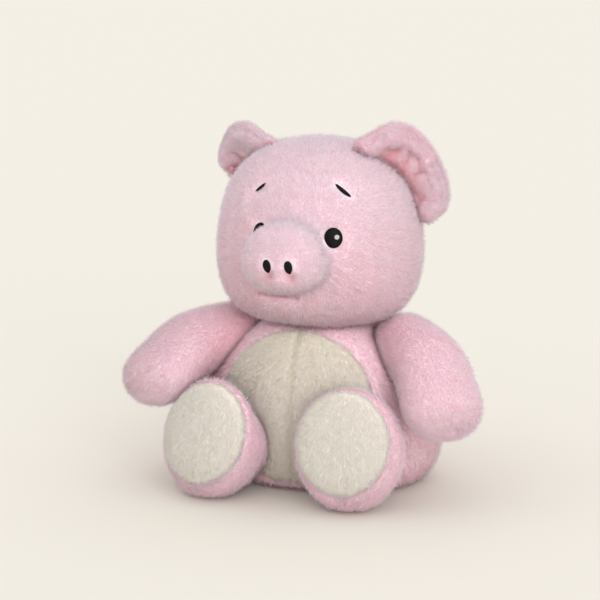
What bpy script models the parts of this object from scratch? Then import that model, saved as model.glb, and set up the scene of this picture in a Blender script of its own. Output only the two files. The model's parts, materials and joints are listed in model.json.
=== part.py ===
"""A seated plush pig, about 24 cm tall, built from its sewn covers, fillings and trim.

The front is -Y, the pig's own left is +X, and it sits on Z = 0. Soft pieces are lofts: each cover is a
wall of plush cloth with the opening that it was turned and filled through, and its filling lies inside.
The head rests on a ball of filling at the neck. The arms are sewn to flat round seats on the shoulders, and
the legs have round roots in hollows at the hips, so that every limb can turn in its seat.
"""

import functools
import math

import bmesh
import bpy
import numpy as np
from mathutils import Matrix, Vector
from mathutils.bvhtree import BVHTree

MM = 0.001

# Cloth, filling and clearances
CLOTH = 2.4 * MM
SEAM_GAP = 0.3 * MM
FILLING_GAP = 0.8 * MM
RUNNING_GAP = 1.0 * MM
LIMB_GAP = 5.5 * MM
TURNING_OPENING = 9.0 * MM
CUT_OVERRUN = 30.0 * MM

# Footprint: the torso's axis stands this far behind, and to the right of, the middle of the whole toy
TORSO_SETBACK = 9.0 * MM
TORSO_ASIDE = 3.0 * MM

# Torso
TORSO_HEIGHT = 111.0 * MM
TORSO_HALF_WIDTH = 85.0 * MM
TORSO_FRONT = 60.0 * MM
TORSO_BACK = 58.0 * MM
TORSO_SQUARENESS = 2.25
TORSO_SIDES = 24
# Shares of the height, of the half width, and of the reach to front and back
TORSO_OUTLINE_SHARES = (
    (0.000, 0.540, 0.540),
    (0.012, 0.730, 0.730),
    (0.060, 0.890, 0.890),
    (0.180, 0.975, 0.975),
    (0.340, 1.000, 1.000),
    (0.520, 0.965, 0.985),
    (0.690, 0.850, 0.940),
    (0.830, 0.680, 0.860),
    (0.930, 0.520, 0.750),
    (0.980, 0.410, 0.600),
    (1.000, 0.260, 0.360),
)

# Belly panel, two cream halves joined down the middle
BELLY_HEIGHT = 58.5 * MM
BELLY_HALF_WIDTH = 53.0 * MM
BELLY_HALF_HEIGHT = 49.0 * MM
BELLY_START = 3.0 * MM
BELLY_SIDES = 28

# Bag of pellets in the seat
POUCH_HALF_WIDTH = 42.0 * MM
POUCH_HALF_DEPTH = 30.0 * MM
POUCH_HEIGHT = 20.0 * MM
POUCH_SQUARENESS = 2.4
POUCH_FULLNESS_SHARE = 0.6
POUCH_SIDES = 24
POUCH_STEPS = 6

# Neck: a ball of filling that the head turns and nods on
NECK_HEIGHT = 115.0 * MM
NECK_RADIUS = 19.0 * MM
NECK_DEPTH = 11.0 * MM
NECK_SIDES = 20
SEAT_SIDES = 20

# Head
HEAD_HEIGHT = 121.0 * MM
HEAD_HALF_WIDTH = 68.0 * MM
HEAD_FRONT = 60.0 * MM
HEAD_BACK = 62.0 * MM
HEAD_SQUARENESS = 2.2
HEAD_SIDES = 24
HEAD_OUTLINE_SHARES = (
    (0.000, 0.450),
    (0.012, 0.610),
    (0.060, 0.800),
    (0.160, 0.935),
    (0.310, 1.000),
    (0.460, 1.000),
    (0.620, 0.955),
    (0.770, 0.860),
    (0.890, 0.680),
    (0.965, 0.430),
    (1.000, 0.000),
)

# Snout
SNOUT_HEIGHT = 166.0 * MM
SNOUT_HALF_WIDTH = 25.5 * MM
SNOUT_HALF_HEIGHT = 21.0 * MM
SNOUT_REACH = 84.0 * MM
SNOUT_EDGE = 8.0 * MM
SNOUT_CROWN = 2.5 * MM
SNOUT_FRONT_SHARE = 1.05
SNOUT_FLARE_SHARE = 0.12
SNOUT_SQUARENESS = 2.3
SNOUT_SIDES = 20

# Face trim, worked in thread
THREAD = 0.8 * MM
FACE_GAP = 0.5 * MM
EYE_SIDE = 28.4 * MM
EYE_HEIGHT = 178.0 * MM
EYE_HALF_WIDTH = 6.2 * MM
EYE_HALF_HEIGHT = 7.2 * MM
EYE_TILT = 12.0
GLINT_RADIUS = 1.6 * MM
GLINT_SIDE = 2.2 * MM
GLINT_RISE = 0.6 * MM
NOSTRIL_SIDE = 7.4 * MM
NOSTRIL_DROP = 4.0 * MM
NOSTRIL_HALF_WIDTH = 2.6 * MM
NOSTRIL_HALF_HEIGHT = 4.0 * MM
NOSTRIL_TILT = 8.0
BROW_SIDES = {"left": 31.5 * MM, "right": 25.0 * MM}
BROW_RISE = 30.0 * MM
BROW_HALF_LENGTH = 7.2 * MM
BROW_HALF_WIDTH = 1.5 * MM
BROW_TILT = -38.0
PATCH_SIDES = 12
PATCH_RING_SHARES = (0.55, 1.0)
EDGE_FALL_SHARE = 0.6

# Ears
EAR_HALF_LENGTH = 36.5 * MM
EAR_REACH = 28.5 * MM
EAR_GAP = 0.55 * MM
EAR_CLOTH = 5.0 * MM
EAR_PINCH_SHARE = 0.4
EAR_LINING = 2.4 * MM
EAR_CUP = 7.0 * MM
EAR_CURL = 7.0 * MM
EAR_HEM = 4.5 * MM
EAR_ROOT_SIDES = {"left": 54.0 * MM, "right": 53.6 * MM}
EAR_ROOT_BACKS = {"left": 4.0 * MM, "right": 12.0 * MM}
EAR_ROOT_HEIGHTS = {"left": 214.0 * MM, "right": 210.5 * MM}
EAR_LEAN_SHARES = (0.40, 0.36, -0.84)
EAR_SWEEPS = {"left": 24.0, "right": 10.0}
EAR_FULLNESS_SHARE = 0.65
EAR_LOWER_SHARES = {"left": 1.08, "right": 0.28}
EAR_COLUMNS = 10
EAR_ROWS = 4
EAR_ROOT_CUP_SHARE = 0.3
EAR_ROOT_HEM_SHARE = 0.3
EAR_FOLD = 20.0
EAR_TEST_ANGLES = (-EAR_FOLD, -EAR_FOLD / 2, 0, EAR_FOLD / 2, EAR_FOLD)
EAR_BASE_STEPS = 141

# Arms: each is sewn to a flat round seat that leans out and up from the torso
SHOULDER_REACH = 99.0 * MM
SHOULDER_LEAN = 42.0
SHOULDER_HEIGHT = 87.0 * MM
SHOULDER_HALF_WIDTH = 22.0 * MM
SHOULDER_HALF_HEIGHT = 22.5 * MM
SHOULDER_STAND = 10.0 * MM
PAW_SIDE = 101.0 * MM
PAW_FORWARD = 56.0 * MM
PAW_HEIGHT = 72.0 * MM
PAW_HALF_WIDTH = 24.5 * MM
PAW_HALF_HEIGHT = 17.5 * MM
PAW_TIP = 21.0 * MM
ELBOW_RISE = 7.0 * MM
ELBOW_SPREAD = 4.0 * MM
ARM_SIDES = 16
ARM_RAISE = {"left": -5.0, "right": 6.5}

# Legs
HIP_SIDE = 41.0 * MM
HIP_FORWARD = 47.0 * MM
HIP_HEIGHT = 34.0 * MM
HIP_RADIUS = 28.0 * MM
SOLE_SIDES = {"left": 46.5 * MM, "right": 50.5 * MM}
SOLE_FORWARD = 86.0 * MM
SOLE_HEIGHTS = {"left": 46.5 * MM, "right": 44.5 * MM}
SOLE_HALF_WIDTH = 29.5 * MM
SOLE_HALF_HEIGHT = 34.0 * MM
SOLE_CROWN = 8.0 * MM
SOLE_FULLNESS_SHARE = 0.8
SOLE_TILT = 20.0
SOLE_SPLAY = 10.0
FOOT_SIDES = {"left": 48.0 * MM, "right": 51.0 * MM}
FOOT_FORWARD = 73.0 * MM
FOOT_HEIGHTS = {"left": 38.5 * MM, "right": 37.0 * MM}
FOOT_HALF_WIDTH = 32.5 * MM
FOOT_HALF_HEIGHT = 38.0 * MM
LEG_SWING = (-15.0, 10.0)
SWING_MARGIN = 7.0
LEG_SIDES = 20
LEG_STEPS = 6
LEG_BEND_POWER = 1.5

# Tail
TAIL_HEIGHT = 44.0 * MM
TAIL_RADIUS = 4.6 * MM
TAIL_TIP_RADIUS = 3.0 * MM
TAIL_STEM = 7.0 * MM
TAIL_CURL = 9.5 * MM
TAIL_TURN = 255.0
TAIL_SIDES = 8

SIDES = {"left": 1, "right": -1}
ROUND = 2.0

PINK = (0.80, 0.47, 0.53)
DEEP_PINK = (0.66, 0.30, 0.36)
CREAM = (0.84, 0.80, 0.69)
BLACK = (0.02, 0.02, 0.022)
FILLING_WHITE = (0.86, 0.86, 0.84)


def clear_scene():
    for item in list(bpy.data.objects):
        bpy.data.objects.remove(item)


def material(name, colour, roughness):
    made = bpy.data.materials.new(name)
    made.use_nodes = True
    shader = made.node_tree.nodes["Principled BSDF"]
    shader.inputs["Base Color"].default_value = (*colour, 1.0)
    shader.inputs["Roughness"].default_value = roughness
    shader.inputs["Metallic"].default_value = 0.0
    return made


# Meshes from rings of points


def signed_power(value, power):
    return math.copysign(abs(value) ** power, value)


def curve_through(points, steps):
    """A smooth curve through the points, with the given number of steps from one to the next."""
    given = [np.array(point, float) for point in points]
    given = [2 * given[0] - given[1]] + given + [2 * given[-1] - given[-2]]
    curve = []
    for before, start, end, after in zip(given, given[1:], given[2:], given[3:]):
        for step in range(steps):
            t = step / steps
            curve.append(
                0.5
                * (
                    2 * start
                    + (end - before) * t
                    + (2 * before - 5 * start + 4 * end - after) * t**2
                    + (3 * start - before - 3 * end + after) * t**3
                )
            )
    curve.append(given[-2])
    return curve


def join_rows(bm, first, second):
    if len(first) == 1 or len(second) == 1:
        pole, row = (first[0], second) if len(first) == 1 else (second[0], first)
        for index, point in enumerate(row):
            bm.faces.new((pole, point, row[(index + 1) % len(row)]))
        return
    for index, point in enumerate(first):
        following = (index + 1) % len(first)
        bm.faces.new((point, first[following], second[following], second[index]))


def add_rows(bm, rings):
    rows = [[bm.verts.new(point) for point in ring] for ring in rings]
    for first, second in zip(rows, rows[1:]):
        join_rows(bm, first, second)
    return rows


def finish_mesh(name, bm):
    bmesh.ops.recalc_face_normals(bm, faces=bm.faces)
    mesh = bpy.data.meshes.new(name)
    bm.to_mesh(mesh)
    bm.free()
    mesh.shade_smooth()
    mesh.set_sharp_from_angle(angle=math.radians(50))
    made = bpy.data.objects.new(name, mesh)
    bpy.context.scene.collection.objects.link(made)
    return made


def closed_loft(name, rings):
    """A solid through rings of points. A ring of one point is a pole, and any other end is a flat cap."""
    bm = bmesh.new()
    rows = add_rows(bm, rings)
    for row in (rows[0], rows[-1]):
        if len(row) > 1:
            bm.faces.new(row)
    return finish_mesh(name, bm)


def shell(name, outer, inner):
    """A wall between two lofts, open where both lists of rings begin."""
    bm = bmesh.new()
    outer_rows = add_rows(bm, outer)
    inner_rows = add_rows(bm, inner)
    join_rows(bm, outer_rows[0], inner_rows[0])
    for rows in (outer_rows, inner_rows):
        if len(rows[-1]) > 1:
            bm.faces.new(rows[-1])
    return finish_mesh(name, bm)


def slab(name, front, back):
    """A solid between two grids of points, given row by row."""
    bm = bmesh.new()
    grids = []
    for grid in (front, back):
        rows = [[bm.verts.new(point) for point in row] for row in grid]
        for first, second in zip(rows, rows[1:]):
            for index in range(len(first) - 1):
                bm.faces.new((first[index], first[index + 1], second[index + 1], second[index]))
        grids.append(rows)
    loops = []
    for rows in grids:
        ends = [row[-1] for row in rows[1:-1]]
        starts = [row[0] for row in rows[1:-1]]
        loops.append(rows[0] + ends + rows[-1][::-1] + starts[::-1])
    join_rows(bm, loops[0], loops[1])
    return finish_mesh(name, bm)


def ball(name, centre, radius, sides=SEAT_SIDES):
    """A ball whose rings lie across X."""
    rings = [[centre - Vector((radius, 0, 0))]]
    count = sides // 2
    for index in range(1, count):
        angle = math.pi * index / count
        middle = centre - Vector((radius * math.cos(angle), 0, 0))
        reach = radius * math.sin(angle)
        rings.append(flat_ring(middle, Vector((0, 1, 0)), Vector((0, 0, 1)), reach, reach, sides))
    rings.append([centre + Vector((radius, 0, 0))])
    return closed_loft(name, rings)


def flat_ring(centre, across, up, half_width, half_height, count, squareness=ROUND):
    points = []
    for index in range(count):
        angle = 2 * math.pi * index / count
        sideways = half_width * signed_power(math.cos(angle), 2 / squareness)
        upwards = half_height * signed_power(math.sin(angle), 2 / squareness)
        points.append(centre + across * sideways + up * upwards)
    return points


def upright_ring(height, half_width, front, back, count, squareness):
    """A level ring that reaches front towards -Y and back towards +Y."""
    points = []
    for index in range(count):
        angle = 2 * math.pi * index / count
        x = half_width * signed_power(math.cos(angle), 2 / squareness)
        depth = back if math.sin(angle) > 0 else front
        y = depth * signed_power(math.sin(angle), 2 / squareness)
        points.append(Vector((x, y, height)))
    return points


def combine(target, cutter, operation="DIFFERENCE"):
    """Applies a Boolean with the cutter, which is used up."""
    change = target.modifiers.new("shape", "BOOLEAN")
    change.solver = "EXACT"
    change.operation = operation
    change.object = cutter
    bpy.context.view_layer.update()
    graph = bpy.context.evaluated_depsgraph_get()
    result = bpy.data.meshes.new_from_object(target.evaluated_get(graph))
    target.modifiers.clear()
    target.data = result
    bpy.data.objects.remove(cutter)
    return target


def cylinder(name, centre, radius, bottom, top, sides):
    rings = []
    for height in (bottom, top):
        middle = Vector((centre[0], centre[1], height))
        rings.append(flat_ring(middle, Vector((1, 0, 0)), Vector((0, 1, 0)), radius, radius, sides))
    return closed_loft(name, rings)


def seat(piece, finish, pivot):
    """Gives a piece its material and hangs it on its body's pivot."""
    piece.data.materials.clear()
    piece.data.materials.append(finish)
    piece.data.transform(Matrix.Translation(-Vector(pivot["place"])))
    piece.parent = pivot
    return piece


def pivot_at(name, place, parent):
    empty = bpy.data.objects.new(name, None)
    empty.empty_display_size = NECK_RADIUS
    empty["place"] = Vector(place)
    bpy.context.scene.collection.objects.link(empty)
    if parent:
        empty.parent = parent
        empty.location = Vector(place) - Vector(parent["place"])
    return empty


# Torso


def shoulder(side):
    """The middle of the arm's seat, and the way that seat faces."""
    lean = math.radians(SHOULDER_LEAN)
    x = (SHOULDER_REACH - SHOULDER_HEIGHT * math.sin(lean)) / math.cos(lean)
    facing = Vector((SIDES[side] * math.cos(lean), 0, math.sin(lean)))
    return Vector((SIDES[side] * x, 0, SHOULDER_HEIGHT)), facing


def hip(side):
    return Vector((SIDES[side] * HIP_SIDE, -HIP_FORWARD, HIP_HEIGHT))


def torso_rings(inset):
    """The torso's level rings, from the flat seat to the neck, moved in by the inset."""
    rings = []
    squeeze = 1 - 2 * inset / TORSO_HEIGHT
    steps = 1 if inset else 2
    for height_share, width_share, depth_share in curve_through(TORSO_OUTLINE_SHARES, steps):
        height = TORSO_HEIGHT * (0.5 + (height_share - 0.5) * squeeze)
        half_width = TORSO_HALF_WIDTH * width_share - inset
        front = TORSO_FRONT * depth_share - inset
        back = TORSO_BACK * depth_share - inset
        rings.append(upright_ring(height, half_width, front, back, TORSO_SIDES, TORSO_SQUARENESS))
    return rings


def torso_form(name, inset):
    """The torso's outer form, or one inside it, with the hollows for shoulders and hips."""
    form = closed_loft(name, torso_rings(inset))
    for side in SIDES:
        middle, facing = shoulder(side)
        trimming = beyond_plane("shoulder_seat", middle - facing * inset, facing)
        combine(form, trimming)
        combine(form, ball("hip_seat", hip(side), HIP_RADIUS + RUNNING_GAP + inset))
    return form


def beyond_plane(name, middle, facing):
    """A block that fills the space on the far side of a leaning plane."""
    across = Vector((0, 1, 0))
    up = facing.cross(across)
    reach = TORSO_HALF_WIDTH
    rings = []
    for depth in (0, CUT_OVERRUN):
        corners = ((-1, -1), (1, -1), (1, 1), (-1, 1))
        rings.append([middle + facing * depth + (across * a + up * b) * reach for a, b in corners])
    return closed_loft(name, rings)


def belly_prism(name, margin, half=None):
    """An oval bar through the front of the torso, whole or one half of it."""
    rings = []
    for depth in (BELLY_START, TORSO_FRONT + CUT_OVERRUN):
        centre = Vector((0, -depth, BELLY_HEIGHT))
        half_width = BELLY_HALF_WIDTH - margin
        half_height = BELLY_HALF_HEIGHT - margin
        rings.append(
            flat_ring(centre, Vector((1, 0, 0)), Vector((0, 0, 1)), half_width, half_height, BELLY_SIDES)
        )
    prism = closed_loft(name, rings)
    if half:
        reach = BELLY_HALF_WIDTH + CUT_OVERRUN
        middle = Vector((SIDES[half] * (reach + SEAM_GAP) / 2, 0, BELLY_HEIGHT))
        keep = box("half", middle, (reach / 2, TORSO_FRONT + 2 * CUT_OVERRUN, TORSO_HEIGHT))
        combine(prism, keep, "INTERSECT")
    return prism


def box(name, centre, half_sizes):
    rings = []
    for sign in (-1, 1):
        height = centre.z + sign * half_sizes[2]
        corners = ((-1, -1), (1, -1), (1, 1), (-1, 1))
        rings.append(
            [Vector((centre.x + a * half_sizes[0], centre.y + b * half_sizes[1], height)) for a, b in corners]
        )
    return closed_loft(name, rings)


def neck_hole(clearance):
    """The round way through the top of the torso, down to the foot of the neck filling."""
    bottom = NECK_HEIGHT - NECK_DEPTH - SEAM_GAP
    return cylinder("neck_hole", (0, 0), NECK_RADIUS + clearance, bottom, NECK_HEIGHT + CUT_OVERRUN, NECK_SIDES)


def build_torso(pink, cream, filling, pivot):
    cover = torso_form("torso_skin", 0)
    combine(cover, torso_form("cavity", CLOTH))
    combine(cover, neck_hole(RUNNING_GAP))
    panels = []
    for side in SIDES:
        panel = cover.copy()
        panel.data = cover.data.copy()
        panel.name = f"belly_panel_{side}"
        bpy.context.scene.collection.objects.link(panel)
        combine(panel, belly_prism("panel_outline", SEAM_GAP, side), "INTERSECT")
        panels.append(panel)
    combine(cover, belly_prism("panel_opening", 0))
    seat(cover, pink, pivot)
    for panel in panels:
        seat(panel, cream, pivot)

    stuffing = torso_form("torso_stuffing", CLOTH + FILLING_GAP)
    combine(stuffing, neck_hole(RUNNING_GAP))
    seat_room = box(
        "seat_room",
        Vector((0, 0, 0)),
        (2 * TORSO_HALF_WIDTH, 2 * TORSO_HALF_WIDTH, CLOTH + 2 * SEAM_GAP + POUCH_HEIGHT),
    )
    combine(stuffing, seat_room)
    seat(stuffing, filling, pivot)

    rings = [[Vector((0, 0, CLOTH + SEAM_GAP))]]
    for step in range(1, POUCH_STEPS):
        angle = math.pi * step / POUCH_STEPS
        height = CLOTH + SEAM_GAP + POUCH_HEIGHT * (1 - math.cos(angle)) / 2
        reach = math.sin(angle) ** POUCH_FULLNESS_SHARE
        rings.append(
            upright_ring(
                height,
                POUCH_HALF_WIDTH * reach,
                POUCH_HALF_DEPTH * reach,
                POUCH_HALF_DEPTH * reach,
                POUCH_SIDES,
                POUCH_SQUARENESS,
            )
        )
    rings.append([Vector((0, 0, CLOTH + SEAM_GAP + POUCH_HEIGHT))])
    pouch = closed_loft("pellet_pouch", rings)
    for side in SIDES:
        combine(pouch, ball("hip_room", hip(side), HIP_RADIUS + RUNNING_GAP + CLOTH + 2 * SEAM_GAP))
    seat(pouch, cream, pivot)


# Neck and head


def build_neck(filling, pivot):
    """A round-topped plug: its foot sits in the torso, and the head turns and nods on its ball."""
    rings = []
    foot = NECK_HEIGHT - NECK_DEPTH
    stem = NECK_RADIUS - SEAM_GAP
    for height, reach in ((foot, stem - CLOTH), (foot + CLOTH / 2, stem)):
        rings.append(upright_ring(height, reach, reach, reach, NECK_SIDES, ROUND))
    lowest = -math.acos(stem / NECK_RADIUS)
    for step in range(8):
        angle = lowest + (math.pi / 2 - lowest) * step / 8
        reach = NECK_RADIUS * math.cos(angle)
        height = NECK_HEIGHT + NECK_RADIUS * math.sin(angle)
        rings.append(upright_ring(height, reach, reach, reach, NECK_SIDES, ROUND))
    rings.append([Vector((0, 0, NECK_HEIGHT + NECK_RADIUS))])
    seat(closed_loft("neck_stuffing", rings), filling, pivot)


def head_rings(inset):
    rings = []
    squeeze = 1 - 2 * inset / HEAD_HEIGHT
    bottom = NECK_HEIGHT + SEAM_GAP
    steps = 1 if inset else 2
    for height_share, width_share in curve_through(HEAD_OUTLINE_SHARES, steps):
        height = bottom + HEAD_HEIGHT * (0.5 + (height_share - 0.5) * squeeze)
        half_width = HEAD_HALF_WIDTH * width_share - inset
        if half_width <= 0 or width_share == 0:
            rings.append([Vector((0, 0, height))])
            break
        front = HEAD_FRONT * width_share - inset
        back = HEAD_BACK * width_share - inset
        rings.append(upright_ring(height, half_width, front, back, HEAD_SIDES, HEAD_SQUARENESS))
    return rings


@functools.lru_cache
def head_levels():
    """Closely spaced heights up the head, and the width share at each."""
    outline = np.array(curve_through(HEAD_OUTLINE_SHARES, 8))
    return NECK_HEIGHT + SEAM_GAP + HEAD_HEIGHT * outline[:, 0], outline[:, 1]


def head_front(x, z):
    """How far towards -Y the head's cover reaches at a place on the face."""
    width_share = float(np.interp(z, *head_levels()))
    across = min(1.0, abs(x) / (HEAD_HALF_WIDTH * width_share))
    return HEAD_FRONT * width_share * (1 - across**HEAD_SQUARENESS) ** (1 / HEAD_SQUARENESS)


def snout_front(x, z):
    """How far towards -Y the flat of the snout reaches."""
    across = x / SNOUT_HALF_WIDTH
    up = (z - SNOUT_HEIGHT) / SNOUT_HALF_HEIGHT
    return SNOUT_REACH - SNOUT_CROWN * min(1.0, across**2 + up**2)


def snout_rings(inset, root_gap, face_gap):
    """Rings from the seam on the face forward to the middle of the snout's flat."""
    rings = []
    across, up = Vector((1, 0, 0)), Vector((0, 0, 1))
    root = flat_ring(
        Vector((0, 0, SNOUT_HEIGHT)),
        across,
        up,
        SNOUT_HALF_WIDTH - inset,
        SNOUT_HALF_HEIGHT - inset,
        SNOUT_SIDES,
        SNOUT_SQUARENESS,
    )
    for p in root:
        p.x *= 1 - SNOUT_FLARE_SHARE * (p.z - SNOUT_HEIGHT) / SNOUT_HALF_HEIGHT
    rings.append([Vector((p.x, -head_front(p.x, p.z) - root_gap, p.z)) for p in root])
    edge = SNOUT_EDGE - inset
    flat = SNOUT_REACH - SNOUT_CROWN - face_gap
    start = flat - edge
    for step in range(1, 4):
        share = step / 3
        width_share = 1 - (1 - SNOUT_FRONT_SHARE) * share
        ring = []
        for p in rings[0]:
            forward = -p.y + (start + p.y) * share
            x = p.x * width_share
            z = SNOUT_HEIGHT + (p.z - SNOUT_HEIGHT) * width_share
            ring.append(Vector((x, -forward, z)))
        rings.append(ring)
    last = rings[-1]
    for step in range(1, 4):
        angle = math.pi / 2 * step / 3
        narrowing = edge * (1 - math.cos(angle))
        forward = start + edge * math.sin(angle)
        ring = []
        for p in last:
            reach = math.hypot(p.x, p.z - SNOUT_HEIGHT)
            factor = 1 - narrowing / reach
            ring.append(Vector((p.x * factor, -forward, SNOUT_HEIGHT + (p.z - SNOUT_HEIGHT) * factor)))
        rings.append(ring)
    rim = rings[-1]
    for share in (2 / 3, 1 / 3):
        forward = flat + SNOUT_CROWN * (1 - share**2)
        rings.append([Vector((p.x * share, -forward, SNOUT_HEIGHT + (p.z - SNOUT_HEIGHT) * share)) for p in rim])
    rings.append([Vector((0, -flat - SNOUT_CROWN, SNOUT_HEIGHT))])
    return rings


def build_snout(pink, filling, pivot):
    cover = shell(
        "snout_skin", snout_rings(0, SEAM_GAP, 0), snout_rings(CLOTH, SEAM_GAP, CLOTH)
    )
    seat(cover, pink, pivot)
    inset = CLOTH + SEAM_GAP
    front = snout_rings(inset, FACE_GAP, inset)
    back = []
    root = front[0]
    for share in (0.25, 0.5, 0.75):
        ring = []
        for p in root:
            x = p.x * share
            z = SNOUT_HEIGHT + (p.z - SNOUT_HEIGHT) * share
            ring.append(Vector((x, -head_front(x, z) - FACE_GAP, z)))
        back.append(ring)
    middle = [Vector((0, -head_front(0, SNOUT_HEIGHT) - FACE_GAP, SNOUT_HEIGHT))]
    seat(closed_loft("snout_stuffing", [middle] + back + front), filling, pivot)


def patch(name, x, z, half_width, half_height, tilt, surface, lift, thickness=THREAD):
    """A thin oval of thread that follows a surface and lies a little proud of it."""
    turn = math.radians(tilt)
    layers = []
    for level in (0, 1):
        rings = [[Vector((x, -surface(x, z) - lift - level * thickness, z))]]
        for share in PATCH_RING_SHARES:
            ring = []
            for index in range(PATCH_SIDES):
                angle = 2 * math.pi * index / PATCH_SIDES
                a = half_width * share * math.cos(angle)
                b = half_height * share * math.sin(angle)
                px = x + a * math.cos(turn) - b * math.sin(turn)
                pz = z + a * math.sin(turn) + b * math.cos(turn)
                proud = thickness * level * (1 - EDGE_FALL_SHARE * share**3)
                ring.append(Vector((px, -surface(px, pz) - lift - proud, pz)))
            rings.append(ring)
        layers.append(rings)
    return closed_loft(name, layers[0] + layers[1][::-1])


def build_face(black, cream, pivot):
    for side, sign in SIDES.items():
        eye_x = sign * EYE_SIDE
        eye = patch(
            f"eye_{side}", eye_x, EYE_HEIGHT, EYE_HALF_WIDTH, EYE_HALF_HEIGHT, sign * EYE_TILT, head_front, FACE_GAP
        )
        seat(eye, black, pivot)
        glint = patch(
            f"eye_glint_{side}",
            eye_x + GLINT_SIDE,
            EYE_HEIGHT + GLINT_RISE,
            GLINT_RADIUS,
            GLINT_RADIUS,
            0,
            head_front,
            FACE_GAP + THREAD + SEAM_GAP,
            THREAD / 2,
        )
        seat(glint, cream, pivot)
        nostril = patch(
            f"nostril_{side}",
            sign * NOSTRIL_SIDE,
            SNOUT_HEIGHT - NOSTRIL_DROP,
            NOSTRIL_HALF_WIDTH,
            NOSTRIL_HALF_HEIGHT,
            -sign * NOSTRIL_TILT,
            snout_front,
            FACE_GAP,
        )
        seat(nostril, black, pivot)
        brow = patch(
            f"brow_{side}",
            sign * BROW_SIDES[side],
            EYE_HEIGHT + BROW_RISE,
            BROW_HALF_LENGTH,
            BROW_HALF_WIDTH,
            sign * BROW_TILT,
            head_front,
            FACE_GAP,
        )
        seat(brow, black, pivot)


def build_head(pink, filling, pivot):
    """Builds the head and returns its cover's surface, which the ears are sewn to."""
    opening = NECK_RADIUS + RUNNING_GAP
    outer = head_rings(0)
    inner = head_rings(CLOTH)
    mouth = [upright_ring(rings[0][0].z, opening, opening, opening, HEAD_SIDES, ROUND) for rings in (outer, inner)]
    cover = shell("head_skin", [mouth[0]] + outer, [mouth[1]] + inner)
    surface = BVHTree.FromPolygons(
        [vertex.co.copy() for vertex in cover.data.vertices],
        [tuple(face.vertices) for face in cover.data.polygons],
    )
    seat(cover, pink, pivot)
    stuffing = closed_loft("head_stuffing", head_rings(CLOTH + SEAM_GAP))
    combine(stuffing, ball("neck_room", Vector((0, 0, NECK_HEIGHT)), opening))
    seat(stuffing, filling, pivot)
    return surface


# Ears


def ear_frame(side):
    """The ear's root point, its fold line, the way it stands out and the way it faces."""
    sign = SIDES[side]
    root = Vector((sign * EAR_ROOT_SIDES[side], EAR_ROOT_BACKS[side], EAR_ROOT_HEIGHTS[side]))
    lean_x, lean_y, lean_z = EAR_LEAN_SHARES
    fold = Vector((sign * lean_x, lean_y, lean_z)).normalized()
    centre = Vector((0, 0, NECK_HEIGHT + SEAM_GAP + HEAD_HEIGHT / 2))
    out = root - centre
    out = (out - fold * out.dot(fold)).normalized()
    out = Matrix.Rotation(math.radians(-sign * EAR_SWEEPS[side]), 3, fold) @ out
    face = fold.cross(out).normalized() * sign
    return root, fold, out, face


def clears(cover, point, margin):
    """True where a point lies outside the cover by the margin."""
    nearest, normal, _, distance = cover.find_nearest(point)
    return distance >= margin and (point - nearest).dot(normal) > 0


def ear_base(side, along, depth, cover):
    """How far from the fold line the ear's sewn edge starts, to clear the head's cover as it folds."""
    root, fold, out, face = ear_frame(side)
    turns = [Matrix.Rotation(math.radians(angle), 3, fold) for angle in EAR_TEST_ANGLES]
    half = EAR_CLOTH / 2 * EAR_PINCH_SHARE
    lowest = EAR_REACH / 2
    for rise in np.linspace(EAR_REACH / 2, -EAR_REACH / 2, EAR_BASE_STEPS):
        corners = [fold * along + out * rise + face * (depth + side_way * half) for side_way in (-1, 1)]
        if not all(clears(cover, root + turn @ corner, EAR_GAP) for turn in turns for corner in corners):
            break
        lowest = rise
    return lowest


def ear_grid(side, offset, hem, cover, pinch_share=1.0):
    """Rows of points over the ear, from its sewn edge to its rim, at an offset towards the face."""
    root, fold, out, face = ear_frame(side)
    columns = []
    for column in range(EAR_COLUMNS + 1):
        angle = math.pi * (column / EAR_COLUMNS)
        spread = -math.cos(angle)
        along = (EAR_HALF_LENGTH * (EAR_LOWER_SHARES[side] if spread > 0 else 1) - hem) * spread
        cup = EAR_CUP * spread**2
        base = ear_base(side, along, cup * EAR_ROOT_CUP_SHARE, cover) + hem * EAR_ROOT_HEM_SHARE
        top = (EAR_REACH - hem) * math.sin(angle) ** EAR_FULLNESS_SHARE
        top = max(top, base + EAR_CLOTH)
        points = []
        for row in range(EAR_ROWS + 1):
            t = row / EAR_ROWS
            rise = base + (top - base) * t
            lift = cup * (EAR_ROOT_CUP_SHARE + (1 - EAR_ROOT_CUP_SHARE) * t) + EAR_CURL * t**3 * math.sin(angle)
            apart = offset * (1 if row else pinch_share)
            points.append(root + fold * along + out * rise + face * (lift + apart))
        columns.append(points)
    return columns


def build_ear(side, pink, rose, cover, pivot):
    half = EAR_CLOTH / 2
    front = ear_grid(side, half, 0, cover, EAR_PINCH_SHARE)
    rear = ear_grid(side, -half, 0, cover, EAR_PINCH_SHARE)
    seat(slab(f"ear_back_{side}", front, rear), pink, pivot)
    face = ear_grid(side, half + SEAM_GAP + EAR_LINING, EAR_HEM + EAR_LINING / 2, cover)
    inner = ear_grid(side, half + 1.5 * SEAM_GAP, EAR_HEM, cover)
    seat(slab(f"ear_lining_{side}", face, inner), rose, pivot)


# Limbs


@functools.lru_cache
def torso_levels():
    """Closely spaced heights up the torso, with the half width and the depth share at each."""
    outline = np.array(curve_through(TORSO_OUTLINE_SHARES, 8))
    return TORSO_HEIGHT * outline[:, 0], TORSO_HALF_WIDTH * outline[:, 1], outline[:, 2]


def torso_depth_share(height):
    heights, _, depth_shares = torso_levels()
    return float(np.interp(height, heights, depth_shares))


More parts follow.
